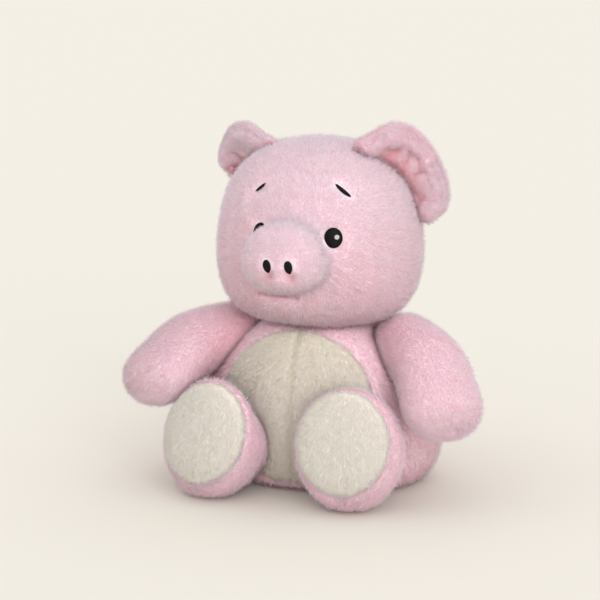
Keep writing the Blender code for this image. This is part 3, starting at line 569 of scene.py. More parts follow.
class PileTree:
    """Sets strands out over a surface: they lean the way it is combed and gather in soft tufts."""

    def __init__(self):
        self.tree = bpy.data.node_groups.new("pile", "GeometryNodeTree")
        pile_inputs(self.tree)
        self.given = self.node("NodeGroupInput").outputs
        spread = self.node(
            "GeometryNodeDistributePointsOnFaces",
            {"distribute_method": "RANDOM"},
            {
                "Mesh": self.given["Surface"],
                "Density": self.size("Density") * self.number("cover"),
                "Seed": self.given["Seed"],
            },
        )
        tuft, gather = self.tufts()
        direction, facing = self.ways(spread.outputs["Normal"], gather)
        tone = self.number("tone") + (tuft - 0.5) * TUFT_TONE + self.chance("tone", TONE_CHANCES)
        points = self.store(spread.outputs["Points"], "strand_tone", tone.limited())
        points = self.store(points, "facing", facing, "FLOAT_VECTOR")
        grown = self.strands(points, direction, tuft)
        self.finish(self.mapped(grown))

    def node(self, kind, settings=None, inputs=None):
        return add_node(self.tree, kind, settings, inputs)

    def size(self, name):
        """One of the tree's named inputs."""
        return Value(self.tree, self.given[name])

    def field(self, name, kind="FLOAT"):
        return self.node("GeometryNodeInputNamedAttribute", {"data_type": kind}, {"Name": name}).outputs[0]

    def number(self, name):
        return Value(self.tree, self.field(name))

    def seed(self, use):
        return self.size("Seed") + SEEDS[use]

    def chance(self, use, limits):
        """A random number between the limits for each strand."""
        low, high = limits
        node = self.node(
            "FunctionNodeRandomValue", {"data_type": "FLOAT"}, {2: low, 3: high, "Seed": self.seed(use)}
        )
        return Value(self.tree, node.outputs[1])

    def stray(self):
        """A random way for each strand."""
        node = self.node(
            "FunctionNodeRandomValue",
            {"data_type": "FLOAT_VECTOR"},
            {0: (-1, -1, -1), 1: (1, 1, 1), "Seed": self.seed("stray")},
        )
        return node.outputs[0]

    def store(self, geometry, name, value, kind="FLOAT", domain="POINT"):
        node = self.node(
            "GeometryNodeStoreNamedAttribute",
            {"data_type": kind, "domain": domain},
            {"Geometry": geometry, "Name": name, "Value": value},
        )
        return node.outputs[0]

    def tufts(self):
        """A number that runs up and down from tuft to tuft, and the way that each tuft gathers."""
        place = self.node("GeometryNodeInputPosition").outputs[0]
        scale = self.size("Tuft Size").math("DIVIDE", 1.0, swap=True)
        noise = self.node(
            "ShaderNodeTexNoise", None, {"Vector": place, "Scale": scale, "Detail": 2.0, "Roughness": 0.6}
        )
        gather = self.node(
            "ShaderNodeVectorMath", {"operation": "SUBTRACT"}, {0: noise.outputs["Color"], 1: (0.5, 0.5, 0.5)}
        )
        return Value(self.tree, noise.outputs[0]), gather.outputs[0]

    def ways(self, upright, gather):
        """The way that each strand stands, and the way that its light falls from."""
        comb = self.field("comb", "FLOAT_VECTOR")
        stray = self.stray()
        direction = vector_sum(
            self.tree,
            (upright, 1.0),
            (comb, self.size("Lean")),
            (gather, self.size("Tufting") * 2.0),
            (stray, self.size("Disorder")),
        )
        facing = vector_sum(
            self.tree,
            (upright, 1.0),
            (comb, COMBED_LIGHT),
            (gather, self.size("Relief")),
            (stray, STRAY_LIGHT),
        )
        return direction, facing

    def strands(self, points, direction, tuft):
        """A strand on each point, longer in the middle of a tuft."""
        length = self.size("Length") * self.number("reach") * self.chance("length", LENGTH_CHANCES)
        length = length * (tuft * TUFT_LENGTH + LEAST_TUFT_LENGTH)
        width = self.size("Width") * self.chance("width", WIDTH_CHANCES)
        standing = self.node("FunctionNodeAlignRotationToVector", {"axis": "Z"}, {"Vector": direction})
        scale = self.node("ShaderNodeCombineXYZ", None, {"X": width, "Y": width, "Z": length})
        strand = self.node("GeometryNodeObjectInfo", None, {"Object": self.given["Strand"]})
        grown = self.node(
            "GeometryNodeInstanceOnPoints",
            None,
            {
                "Points": points,
                "Instance": strand.outputs["Geometry"],
                "Rotation": standing.outputs[0],
                "Scale": scale.outputs[0],
            },
        )
        real = self.node("GeometryNodeRealizeInstances", None, {"Geometry": grown.outputs[0]})
        return real.outputs[0]

    def mapped(self, grown):
        """Lays each strand's map at its own tone, for the finish to read."""
        flat = self.node("ShaderNodeSeparateXYZ", None, {"Vector": self.field("OFBake", "FLOAT_VECTOR")})
        across = Value(self.tree, flat.outputs[0]) + self.number("strand_tone") * TONE_MAP_WIDTH
        across = across + TONE_MAP_START
        place = self.node("ShaderNodeCombineXYZ", None, {"X": across, "Y": flat.outputs[1]})
        return self.store(grown, "OFBake", place.outputs[0], "FLOAT2", "CORNER")

    def finish(self, grown):
        """Gives the strands soft normals and their material."""
        outward = self.node("GeometryNodeInputNormal").outputs[0]
        facing = self.field("facing", "FLOAT_VECTOR")
        softened = vector_sum(self.tree, (outward, 1.0), (facing, self.size("Softness")))
        shaded = self.node(
            "GeometryNodeSetMeshNormal",
            {"mode": "FREE", "domain": "POINT"},
            {"Mesh": grown, "Custom Normal": softened},
        )
        finished = self.node(
            "GeometryNodeSetMaterial", None, {"Geometry": shaded.outputs[0], "Material": self.given["Finish"]}
        )
        self.node("NodeGroupOutput", None, {"Pile": finished.outputs[0]})


class Plush:
    """Grows pile on the forms and finishes them. One tree and one strand serve them all."""

    def __init__(self, finishes):
        self.finishes = finishes
        self.tree = PileTree().tree
        self.strand = make_strand()
        self.seed = 0

    def grow(self, name, body, cloth, form, strands, fields, **settings):
        """A pelt of about so many strands, where the fields' cover is above 0."""
        self.seed += 1
        surface = add_object(name, form.data.copy())
        lay_fields(surface.data, fields)
        change = surface.modifiers.new("pile", "NODES")
        change.node_group = self.tree
        values = {
            "Strand": self.strand,
            "Finish": self.finishes[cloth],
            "Seed": self.seed * SEED_STEP,
            "Density": strands / covered_area(surface.data, fields["cover"]),
            **settings,
        }
        for socket in self.tree.interface.items_tree:
            if socket.name in values:
                change[socket.identifier] = values[socket.name]
        bpy.context.view_layer.update()
        mesh = evaluated_mesh(surface)
        bpy.data.objects.remove(surface)
        drop_fields(mesh)
        keep_above(mesh, FLOOR_CLEARANCE)
        pelt = add_object(name, mesh)
        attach(pelt, body)
        return pelt

    def pad(self, form, body, cloth, fill, tone, *nodes):
        """Finishes a padded form: its underhair, its body, and the solids that it stands for."""
        keep_above(form.data, FLOOR_CLEARANCE / 2)
        set_field(form.data, "tone", np.broadcast_to(tone, len(form.data.vertices)))
        form.data.materials.append(self.finishes[f"{cloth} underhair"])
        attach(form, body)
        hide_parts(*nodes)

    def clear(self):
        bpy.data.objects.remove(self.strand)


def lay_fields(mesh, fields):
    for name in ("cover", "reach", "tone"):
        set_field(mesh, name, fields[name])
    set_field(mesh, "comb", along_surface(fields["comb"], normals_of(mesh)), "FLOAT_VECTOR")


def drop_fields(mesh):
    for attribute in list(mesh.attributes):
        if attribute.name in ("cover", "reach", "tone", "comb", "strand_tone", "facing"):
            mesh.attributes.remove(attribute)


def covered_area(mesh, cover):
    total = 0.0
    for face in mesh.polygons:
        total += face.area * np.mean([cover[index] for index in face.vertices])
    return total


def off_floor(points):
    """0 where a piece rests on the floor, and 1 clear of it."""
    return ramp(points[:, 2], 0.5 * MM, 5 * MM)


def fields_on(form, hidden_by):
    """The form's points and its starting fields: an even tone, and full cover but where a neighbour lies."""
    points = points_of(form.data)
    clear = off_floor(points)
    seen = distance_to(points, hidden_by) > HIDDEN_GAP
    fields = {
        "cover": seen * (FLOOR_COVER + (1 - FLOOR_COVER) * clear),
        "reach": FLOOR_LENGTH + (1 - FLOOR_LENGTH) * clear,
        "tone": np.full(len(points), EVEN_TONE),
    }
    return points, fields


def change(fields, mask, longer=0.0, paler=0.0):
    """Where the mask is 1, makes the pile longer by a share, and paler. Below 0 it is shorter, or deeper."""
    fields["reach"] = fields["reach"] * (1 + longer * mask)
    fields["tone"] = fields["tone"] + paler * mask


def combed_from(points, root, drop=0.0):
    """A comb that runs away from the root, and droops."""
    return points - np.array(root) - np.array((0, 0, drop))


def combed_down(points, middle, spread):
    """A comb that runs down, and outwards from the middle."""
    comb = np.tile((0.0, 0.0, -1.0), (len(points), 1))
    comb[:, 0] = (points[:, 0] - middle) * spread
    return comb


def restricted(fields, mask):
    """The same fields with the cover kept only where the mask is."""
    return {**fields, "cover": fields["cover"] * mask}


def fill_pile(form, others, share=1.0):
    """Lifts a form by its underhair, but not towards the floor or the neighbours."""
    points = points_of(form.data)
    room = off_floor(points) * share * ramp(distance_to(points, others), 1.5 * MM, 7 * MM)
    push(form.data, UNDERHAIR * room)


# Embroidery

SATIN_COLUMNS = 10
# How far each thread stands up, as a share of the spacing
SATIN_RIDGE = 0.35
# How far the first and last lines, and the lines between threads, draw in from the outline
SATIN_END = 0.995
SATIN_NOTCH = 0.985


def satin_rows(surface, centre, half_sizes, tilt, lift, crown, spacing):
    """Rows of points over an oval: its front, crowned and ridged by threads, and its back in the cloth."""
    half_width, half_height = half_sizes
    turn = math.radians(tilt)
    threads = max(4, round(2 * half_height / spacing))

    def place(across, up, height):
        x = centre[0] + across * math.cos(turn) - up * math.sin(turn)
        z = centre[1] + across * math.sin(turn) + up * math.cos(turn)
        hit, normal = surface.ray_cast(Vector((x, -1, z)), Vector((0, 1, 0)))[:2]
        return hit + normal * height

    fronts, backs = [], []
    for line in range(2 * threads + 1):
        on_thread = line % 2
        up = half_height * (line / threads - 1) * SATIN_END
        reach = half_width * math.sqrt(1 - (up / half_height) ** 2) * (1 if on_thread else SATIN_NOTCH)
        front, back = [], []
        for column in range(SATIN_COLUMNS + 1):
            share = -math.cos(math.pi * column / SATIN_COLUMNS)
            fall = (share * reach / half_width) ** 2 + (up / half_height) ** 2
            ridge = spacing * SATIN_RIDGE * on_thread * (1 - share**4)
            height = lift + crown * math.sqrt(max(0, 1 - fall)) + ridge
            front.append(place(share * reach, up, height))
            back.append(place(share * reach, up, lift - spacing))
        fronts.append(front)
        backs.append(back)
    return fronts, backs


def satin_mesh(name, fronts, backs):
    """One closed shell from the rows of the front and the back."""
    bm = bmesh.new()
    loops = []
    for rows, flip in ((fronts, False), (backs, True)):
        sheet = [[bm.verts.new(point) for point in row] for row in rows]
        for first, second in zip(sheet, sheet[1:]):
            for index in range(SATIN_COLUMNS):
                corners = (first[index], first[index + 1], second[index + 1], second[index])
                bm.faces.new(corners[::-1] if flip else corners)
        right = [row[-1] for row in sheet[1:-1]]
        left = [row[0] for row in sheet[1:-1]]
        loops.append(sheet[0] + right + sheet[-1][::-1] + left[::-1])
    front, back = loops
    for index in range(len(front)):
        following = (index + 1) % len(front)
        bm.faces.new((front[following], front[index], back[index], back[following]))
    bmesh.ops.recalc_face_normals(bm, faces=bm.faces)
    mesh = bpy.data.meshes.new(name)
    bm.to_mesh(mesh)
    bm.free()
    mesh.shade_smooth()
    return mesh


def stitch(name, node, thread, finishes, surface, half_sizes, tilt, stitches, shift=(0, 0)):
    """A patch of satin stitch that lies on the surface, where the solid that it stands for is."""
    middle = middle_of(node)
    centre = (middle.x + shift[0], middle.z + shift[1])
    mesh = satin_mesh(name, *satin_rows(surface, centre, half_sizes, tilt, *stitches))
    mesh.materials.append(finishes[thread])
    made = add_object(name, mesh)
    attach(made, "head")
    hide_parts(node)


# Head

HEAD_NODES = ("head_skin", "head_stuffing", "snout_skin", "snout_stuffing")
EAR_BACKS = ("ear_back_left", "ear_back_right")
NOSTRILS = ("nostril_left", "nostril_right")
HEAD_NEIGHBOURS = (
    "neck_stuffing",
    "torso_skin",
    "arm_skin_left",
    "arm_skin_right",
    "eye_left",
    *EAR_BACKS,
    *NOSTRILS,
)

# Stitched patches: half their width and height, their tilt in degrees, and their lift off the cloth, crown
# and thread spacing
EYE_SIZES = (5.8 * MM, 6.8 * MM)
EYE_TILT = 12
EYE_STITCHES = (1.1 * MM, 1.7 * MM, 0.55 * MM)
GLINT_SIZES = (1.55 * MM, 1.55 * MM)
GLINT_STITCHES = (2.9 * MM, 0.4 * MM, 0.4 * MM)
BROW_SIZES = {"left": (1.0 * MM, 6.6 * MM), "right": (0.8 * MM, 4.6 * MM)}
BROW_TILT = 52
BROW_STITCHES = (1.5 * MM, 0.7 * MM, 0.6 * MM)
NOSTRIL_SIZES = (2.7 * MM, 4.1 * MM)
NOSTRIL_TILT = 8
NOSTRIL_STITCHES = (1.2 * MM, 0.9 * MM, 0.5 * MM)
# The right eye lies nearer the snout than its mate, half under the snout's edge
EYE_SHIFTS = {"left": (0, 0), "right": (6.6 * MM, 1.2 * MM)}
# How far an eye's outline runs back from the eye
EYE_DEPTH = 9 * MM

# Where the mouth's crease runs, in millimetres from the snout's middle
MOUTH = ((-23.5, -28.5), (-15, -29.5), (-6, -29.5), (4, -28.5))
MOUTH_WIDTH = 2.4 * MM
MOUTH_DEPTH = 4.0 * MM
# A fold in the cloth of the right side of the face, seen from the front
FACE_FOLD = ((-0.040, 0.204), (-0.0385, 0.192), (-0.033, 0.184))
FACE_FOLD_WIDTH = 3.5 * MM
FACE_FOLD_HEIGHT = 0.9 * MM
# From a nostril's middle to the dimple under it
UNDER_NOSTRIL = Vector((1 * MM, 0, -7.5 * MM))

# The inner corner round the snout: how wide it is, and for how many rounds it is rounded off
SNOUT_CORNER = 7 * MM
SNOUT_CORNER_ROUNDS = 90
# The distances from the snout over which its looks turn into the face's, and how full its underhair is
SNOUT_EDGE = (1 * MM, 9 * MM)
SNOUT_UNDERHAIR = 0.3
# Where the snout's pelt ends: how far off the snout, and how far behind its middle
SNOUT_PELT_EDGE = 5 * MM
SNOUT_PELT_BACK = 12 * MM
# Where the face's pelts end and the pelts of the head's back begin
FACE_BACK = -4 * MM


def on_face(snout, across, back, down):
    """A place in millimetres: across from the head's middle, and back and down from the snout's."""
    return MIDDLE_X + across * MM, snout.y + back * MM, snout.z - down * MM


def under_nostril(side):
    return middle_of(f"nostril_{side}") + UNDER_NOSTRIL


def mouth_crease(points, snout):
    """1 along the mouth, and fading to 0 away from it."""
    mouth = [(snout.x + x * MM, snout.z + z * MM) for x, z in MOUTH]
    return crease(distance_to_path(points[:, (0, 2)], mouth), MOUTH_WIDTH) * on_front(points)


def round_eye(points, side):
    """Each point's distance from an eye's outline, seen from the front."""
    eye = middle_of(f"eye_{side}")
    away = (points[:, 0] - eye.x - EYE_SHIFTS[side][0], points[:, 2] - eye.z - EYE_SHIFTS[side][1])
    share = np.hypot(away[0] / EYE_SIZES[0], away[1] / EYE_SIZES[1])
    behind = np.abs(points[:, 1] - eye.y) > EYE_DEPTH
    return (share - 1) * EYE_SIZES[0] + behind * PILE * 4


def shape_head(form, snout):
    """Rounds the snout into the face and gives the cloth its hollows, fold and mouth."""
    points = points_of(form.data)
    from_corner = np.maximum(distance_to(points, ["head_skin"]), distance_to(points, ["snout_skin"]))
    soften(form.data, crease(from_corner, SNOUT_CORNER), SNOUT_CORNER_ROUNDS)
    points = points_of(form.data)
    amount = swelling(points, on_face(snout, across=0, back=8, down=37), height=2.6, reach=(24, 30, 9))
    amount -= MOUTH_DEPTH * mouth_crease(points, snout)
    for side, sign in SIDES.items():
        cheek = on_face(snout, across=46 * sign, back=28, down=20)
        amount += swelling(points, middle_of(f"eye_{side}"), height=-1.4, reach=(10, 12, 11))
        amount += swelling(points, middle_of(f"brow_{side}"), height=-1.2, reach=(8, 12, 5))
        amount += swelling(points, cheek, height=1.2, reach=(18, 26, 18))
        amount += swelling(points, under_nostril(side), height=-2.8, reach=(3.5, 6, 3.2))
    fold = distance_to_path(points[:, (0, 2)], FACE_FOLD)
    amount += FACE_FOLD_HEIGHT * crease(fold, FACE_FOLD_WIDTH) * on_front(points)
    push(form.data, amount)


def comb_head(form, points, snout):
    """The head's pile runs back from the snout's tip, up over the tip itself, and down on the head's back."""
    tip = Vector((snout.x, snout.y - 30 * MM, snout.z))
    back = along_surface(combed_from(points, tip), normals_of(form.data))
    from_tip = np.linalg.norm(points[:, (0, 2)] - np.array((tip.x, tip.z)), axis=1)
    level = ramp(from_tip, 6 * MM, 20 * MM)[:, None]
    comb = back * level + (1 - level) * np.array((0, 0, 1))
    comb[:, 2] -= 0.35 * ramp(points[:, 1], -30 * MM, 30 * MM)
    return comb


def head_fields(form, snout):
    """How the head's pile stands: none on the stitching and short round it, with painted light on the top of
    the head, a paler snout, and painted shade in the hollows, creases and gaps.
    """
    points, fields = fields_on(form, ("neck_stuffing", *EAR_BACKS))
    fields["comb"] = comb_head(form, points, snout)
    nostrils = distance_to(points, NOSTRILS)
    eyes = np.minimum(*(round_eye(points, side) for side in SIDES))
    left_brow, right_brow = (distance_to(points, [f"brow_{side}"]) for side in SIDES)
    fields["cover"] *= (nostrils > 1.3 * MM) * (eyes > 0.4 * MM) * (left_brow > 0.5 * MM)
    fields["tone"] += 0.08
    # Painted light: paler towards the top of the head
    change(fields, ramp(points[:, 2], 160 * MM, 215 * MM), paler=0.25)
    change(fields, beside(points, ["snout_skin"], *SNOUT_EDGE), longer=-0.28, paler=0.22)
    # Painted shade in the gap beside the ears
    change(fields, beside(points, EAR_BACKS, 1 * MM, 9 * MM), longer=0.4, paler=-0.25)
    # Painted shade in the mouth's crease
    change(fields, mouth_crease(points, snout), longer=-0.55, paler=-0.5)
    change(fields, 1 - ramp(np.minimum(eyes, nostrils), 1 * MM, 6 * MM), longer=-0.5)
    change(fields, 1 - ramp(np.minimum(left_brow, right_brow), 1 * MM, 5 * MM), longer=-0.45)
    # Painted shade in the dent along the right brow and in the hollows round the eyes
    change(fields, crease(right_brow, 4 * MM), paler=-0.25)
    change(fields, crease(eyes, 5 * MM), paler=-0.15)
    for side, sign in SIDES.items():
        cheek = on_face(snout, across=36 * sign, back=28, down=20)
        # Painted shade on the lower cheeks and in the dimples under the nostrils
        change(fields, bell(points, cheek, (20 * MM, 26 * MM, 14 * MM)), paler=-0.18)
        change(fields, bell(points, under_nostril(side), (3.8 * MM, 8 * MM, 3.4 * MM)), paler=-1.5)
    return points, fields


def head_masks(points, snout):
    """The part of the head that each of its pelts covers."""
    near_snout = distance_to(points, ["snout_skin"]) < SNOUT_PELT_EDGE
    on_snout = near_snout & (points[:, 1] < snout.y + SNOUT_PELT_BACK)
    face = (points[:, 1] < FACE_BACK) & ~on_snout
    back = ~(on_snout | face)
    left = points[:, 0] > MIDDLE_X
    return {
        "snout_pile": on_snout,
        "face_pile_left": face & left,
        "face_pile_right": face & ~left,
        "head_back_pile_left": back & left,
        "head_back_pile_right": back & ~left,
    }


def make_head(plush):
    """The head and the snout are one padded form, as the snout's pile runs into the face's."""
    bare = merged_form("bare_head", ["head_skin", "head_stuffing"])
    form = merged_form("head_form", HEAD_NODES, HEAD_VOXEL)
    snout = middle_of("snout_skin")
    shape_head(form, snout)
    off_snout = ramp(distance_to(points_of(form.data), ["snout_skin"]), *SNOUT_EDGE)
    fill_pile(form, HEAD_NEIGHBOURS, SNOUT_UNDERHAIR + (1 - SNOUT_UNDERHAIR) * off_snout)

    points, fields = head_fields(form, snout)
    masks = head_masks(points, snout)
    areas = {name: covered_area(form.data, fields["cover"] * mask) for name, mask in masks.items()}
    for name, mask in masks.items():
        strands = HEAD_STRANDS * areas[name] / sum(areas.values())
        if name == "snout_pile":
            strands *= SNOUT_FULLNESS
        plush.grow(name, "head", "pink", form, strands, restricted(fields, mask))
    plush.pad(form, "head", "pink", FILLS["head"], fields["tone"], *HEAD_NODES)
    make_face(bare, form, plush.finishes)
    bpy.data.objects.remove(bare)


def make_face(bare, form, finishes):
    """The stitched eyes, glints and brows on the head's own surface, and the nostrils on the snout's."""
    head = surface_tree(bare.data)
    snout = surface_tree(form.data)
    for side, sign in SIDES.items():
        stitch(
            f"eye_{side}_stitched", f"eye_{side}", "black", finishes, head,
            EYE_SIZES, sign * EYE_TILT, EYE_STITCHES, EYE_SHIFTS[side],
        )
        stitch(
            f"glint_{side}_stitched", f"eye_glint_{side}", "pale", finishes, head,
            GLINT_SIZES, 0, GLINT_STITCHES, EYE_SHIFTS[side],
        )
        stitch(
            f"brow_{side}_stitched", f"brow_{side}", "black", finishes, head,
            BROW_SIZES[side], sign * BROW_TILT, BROW_STITCHES,
        )
        stitch(
            f"nostril_{side}_stitched", f"nostril_{side}", "black", finishes, snout,
            NOSTRIL_SIZES, NOSTRIL_TILT, NOSTRIL_STITCHES,
        )


# Ears

# Folds inside the ears, each a line of places (along the seam, out from the seam) in millimetres
EAR_GROOVES = {
    "left": (((-16, 6), (-10, 3.6), (2, 3), (15, 3.5), (23, 8)), ((-19, 14), (-15.5, 6))),
    "right": (((-15, 3), (-8, 6), (-0.5, 9), (3, 13)),),
}
EAR_CREASES = {
    "left": (
        ((-22, 8), (-28, 9.5), (-28, 16), (-22, 21), (-14, 17.5), (-5, 9.5)),
        ((5, 12), (5, 20)),
        ((-4, 19), (2, 16)),
    ),
    "right": (((-23, 20), (-11, 19.5), (-8, 11.5), (-13, 5)), ((-9, 21), (-4, 25)), ((4, 19), (-0.5, 9.5))),
}
EAR_RIDGES = {
    "left": (((-24, 12), (-22, 16), (-17, 16), (-12, 9)), ((10, 14), (24, 16)), ((-2, 13), (4, 23))),
    "right": (((-19, 16), (-14, 13), (-14, 9)), ((-3, 17), (0, 23)), ((-24, 12), (-20, 6))),
}
# Each kind of fold: its lines, how wide it is and how far it rises, in millimetres
EAR_FOLDS = {
    "ridges": (EAR_RIDGES, 4.5, 2.4),
    "grooves": (EAR_GROOVES, 3.6, -2.0),
    "creases": (EAR_CREASES, 2.0, -1.4),
}

# How far out the lining goes, as a share of the ear, before the plush rim
LINING_SHARE = 0.7
# How far the rim swells, and the lining and the ends of the seam sink, in millimetres
RIM_SWELL = 1.6
LINING_SINK = 0.6
SEAM_END_SINK = 2.0
EAR_UNDERHAIR = 0.6


def ear_frame(side):
    """The ear's root, its fold line, the way it stands out and the way it faces."""
    root = place_of(f"ear_{side}_fold")
    fold = Vector(JOINTS[f"ear_{side}_fold"]["axis"]).normalized()
    out = middle_of(f"ear_back_{side}") - root
    out = (out - fold * out.dot(fold)).normalized()
    return root, fold, out, fold.cross(out).normalized() * SIDES[side]


def nearest_line(places, lines):
    """Each flat place's distance to the nearest of the lines, which are in millimetres."""
    found = np.full(len(places), np.inf)
    for line in lines:
        found = np.minimum(found, distance_to_path(places, [(a * MM, b * MM) for a, b in line]))
    return found


def ear_relief(form, side):
    """Fields over the ear: the place along the seam and out from it, the inner side and the folds."""
    root, fold, _, face = ear_frame(side)
    points = points_of(form.data)
    local = points - np.array(root)
    along = local @ np.array(fold)
    out = np.linalg.norm(local - along[:, None] * np.array(fold), axis=1)
    nearer_lining = distance_to(points, [f"ear_lining_{side}"]) < distance_to(points, [f"ear_back_{side}"])
    faces_in = normals_of(form.data) @ np.array(face) > -0.2
    inner = blurred(form.data, (nearer_lining & faces_in).astype(float), rounds=12)
    end = np.abs(along) / np.abs(along).max()
    rim = np.hypot(end, out / out.max())
    relief = {"along": along, "out": out, "end": end, "rim": rim, "inner": inner}
    places = np.stack((along, out), axis=1)
    for kind, (lines, width, _) in EAR_FOLDS.items():
        relief[kind] = crease(nearest_line(places, lines[side]), width * MM) * inner
    return relief


def shape_ear(form, relief):
    """Presses the folds into the lining, plumps the rim and tucks in the ends of the seam."""
    inner = relief["inner"]
    middle = (1 - ramp(relief["rim"], LINING_SHARE - 0.16, LINING_SHARE + 0.14)) * inner
    plump = inner * ramp(relief["out"], 2 * MM, 10 * MM)
    folds = sum(height * relief[kind] for kind, (_, _, height) in EAR_FOLDS.items())
    amount = folds * middle + RIM_SWELL * plump * (1 - middle) - LINING_SINK * middle
    seam_end = ramp(relief["end"], 0.7, 1) * (1 - ramp(relief["out"], 2 * MM, 9 * MM))
    amount = amount * (1 - seam_end) - SEAM_END_SINK * seam_end
    push(form.data, MM * blurred(form.data, amount, rounds=5))
    fill_pile(form, ["head_skin"], EAR_UNDERHAIR)


def lining_painted_light(relief):
    """Painted light and shade: highlights on the folds and towards the rim, and painted shade in the grooves
    and creases and nearer the head.
    """
    tone = 0.5 + 0.5 * relief["ridges"] + 0.35 * ramp(relief["rim"], 0.35, LINING_SHARE)
    return tone - 0.8 * relief["grooves"] - 0.6 * relief["creases"]


def make_ear(side, plush):
    back, lining = f"ear_back_{side}", f"ear_lining_{side}"
    form = merged_form(f"ear_form_{side}", [back, lining], FINE_VOXEL, rounds=20)
    soften(form.data, np.ones(len(form.data.vertices)), rounds=16)
    relief = ear_relief(form, side)
    shape_ear(form, relief)

    _, fold, out, _ = ear_frame(side)
    points, fields = fields_on(form, ["head_skin"])
    fields["comb"] = np.array(out) + np.sign(relief["along"])[:, None] * 0.3 * np.array(fold)
    # Painted shade on the ear beside the head
    change(fields, beside(points, ["head_skin"], 1 * MM, 8 * MM), longer=0.35, paler=-0.3)
    lined = ((relief["inner"] > 0.5) & (relief["rim"] < LINING_SHARE)).astype(float)
    inside = restricted(fields, lined)
    # The lining's tone is painted highlight and shade over its folds
    inside["tone"] = lining_painted_light(relief)
    plush.grow(
        f"ear_pile_{side}", f"ear_{side}", "pink", form, STRANDS["ear"], restricted(fields, 1 - lined),
        Length=EAR_PILE,
    )
    pelt = plush.grow(
        f"ear_lining_pile_{side}", f"ear_{side}", "rose", form, STRANDS["lining"], inside,
        Length=LINING_PILE, Width=LINING_WIDTH, Lean=LINING_LEAN,
    )
    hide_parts(lining)
    tone = np.where(relief["inner"] > 0.5, inside["tone"], fields["tone"])
    plush.pad(form, f"ear_{side}", "pink", FILLS["ear"], tone, back)


# Body

BELLY_PANELS = ("belly_panel_left", "belly_panel_right")
LIMB_SKINS = ("arm_skin_left", "arm_skin_right", "leg_skin_left", "leg_skin_right")
BELLY_SEAM_WIDTH = 3 * MM
# How deep the belly's middle seam lies on the torso's form and on its own, and how deep its outline does
TORSO_SEAM_DEPTH = 1.6 * MM
BELLY_SEAM_DEPTH = 1.2 * MM
BELLY_EDGE_DEPTH = 1.0 * MM
# How far the pads of the belly and the soles stand off what they lie on
PAD_LIFT = 0.5 * MM


def belly_swell(points):
    """How far the belly swells, over its middle and a little lower."""
    low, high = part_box("belly_panel_left")
    centre = (MIDDLE_X, low.y, (low.z + high.z) / 2 - 12 * MM)
    return swelling(points, centre, height=1.6, reach=(38, 40, 34))


def make_torso(plush):
    form = merged_form("torso_form", ["torso_skin", *BELLY_PANELS, "torso_stuffing", "pellet_pouch"])
    points = points_of(form.data)
    to_belly = distance_to(points, BELLY_PANELS)
    on_belly = (to_belly < distance_to(points, ["torso_skin"])).astype(float)
    seam = crease(points[:, 0] - MIDDLE_X, BELLY_SEAM_WIDTH) * on_belly
    edge = crease(to_belly - 1.0 * MM, 2.0 * MM) * (1 - on_belly) * on_front(points)
    push(form.data, belly_swell(points) - TORSO_SEAM_DEPTH * seam - BELLY_EDGE_DEPTH * edge)
    fill_pile(form, (*LIMB_SKINS, "head_skin", "neck_stuffing", "tail"))

    points, fields = fields_on(form, (*LIMB_SKINS, "head_skin", "neck_stuffing"))
    fields["comb"] = combed_down(points, MIDDLE_X, spread=6)
    fields["tone"] -= 0.12
    # Painted shade beside the limbs
    change(fields, beside(points, LIMB_SKINS, 3 * MM, 16 * MM), paler=-0.2)
    change(fields, ramp(points[:, 2], 98 * MM, 112 * MM), longer=-0.15)
    for side, sign in SIDES.items():
        half = (1 - on_belly) * (sign * (points[:, 0] - MIDDLE_X) > 0)
        plush.grow(
            f"torso_pile_{side}", "torso", "pink", form, STRANDS["torso"], restricted(fields, half)
        )
    nodes = ("torso_skin", "torso_stuffing", "pellet_pouch")
    plush.pad(form, "torso", "pink", FILLS["torso"], fields["tone"], *nodes)


def make_belly(plush):
    """The belly's two cream halves, a thin pad on the torso's form."""
    form = merged_form("belly_form", BELLY_PANELS, FINE_VOXEL)
    points = points_of(form.data)
    seam = crease(points[:, 0] - MIDDLE_X, BELLY_SEAM_WIDTH)
    outer = blurred(form.data, (normals_of(form.data)[:, 1] < 0.1).astype(float), rounds=3)
    push(form.data, (belly_swell(points) + PAD_LIFT - BELLY_SEAM_DEPTH * seam) * outer)
    fill_pile(form, (*LIMB_SKINS, "head_skin", "neck_stuffing"), outer)

    points, fields = fields_on(form, LIMB_SKINS)
    fields["cover"] *= outer > 0.5
    fields["comb"] = combed_down(points, MIDDLE_X, spread=16)
    # Painted shade in the middle seam, at the bottom between the legs, and under the head
    fields["tone"] = 0.56 - 0.3 * seam
    change(fields, 1 - ramp(points[:, 2], 12 * MM, 35 * MM), paler=-0.2)
    change(fields, ramp(points[:, 2], 60 * MM, 100 * MM), paler=-0.2)
    for side, sign in SIDES.items():
        half = sign * (points[:, 0] - MIDDLE_X) > 0
        plush.grow(
            f"belly_pile_{side}", "torso", "cream", form, STRANDS["belly"], restricted(fields, half),
            Length=BELLY_PILE,
        )
    plush.pad(form, "torso", "cream", FILLS["belly"], fields["tone"], *BELLY_PANELS)


def make_neck(plush):
    form = merged_form("neck_form", ["neck_stuffing"])
    plush.pad(form, "neck", "pink", FILLS["neck"], 0.5, "neck_stuffing")


def make_tail(plush):
    form = merged_form("tail_form", ["tail"], FINE_VOXEL, rounds=6)
    points, fields = fields_on(form, ["torso_skin"])
    fields["comb"] = combed_from(points, place_of("tail_wag"))
    fields["reach"] *= 0.9
    plush.grow("tail_pile", "tail", "pink", form, STRANDS["tail"], fields, Length=TAIL_PILE)
    plush.pad(form, "tail", "pink", FILLS["tail"], fields["tone"], "tail")


# Limbs

LEG_NEIGHBOURS = ("torso_skin", "arm_skin_left", "arm_skin_right")
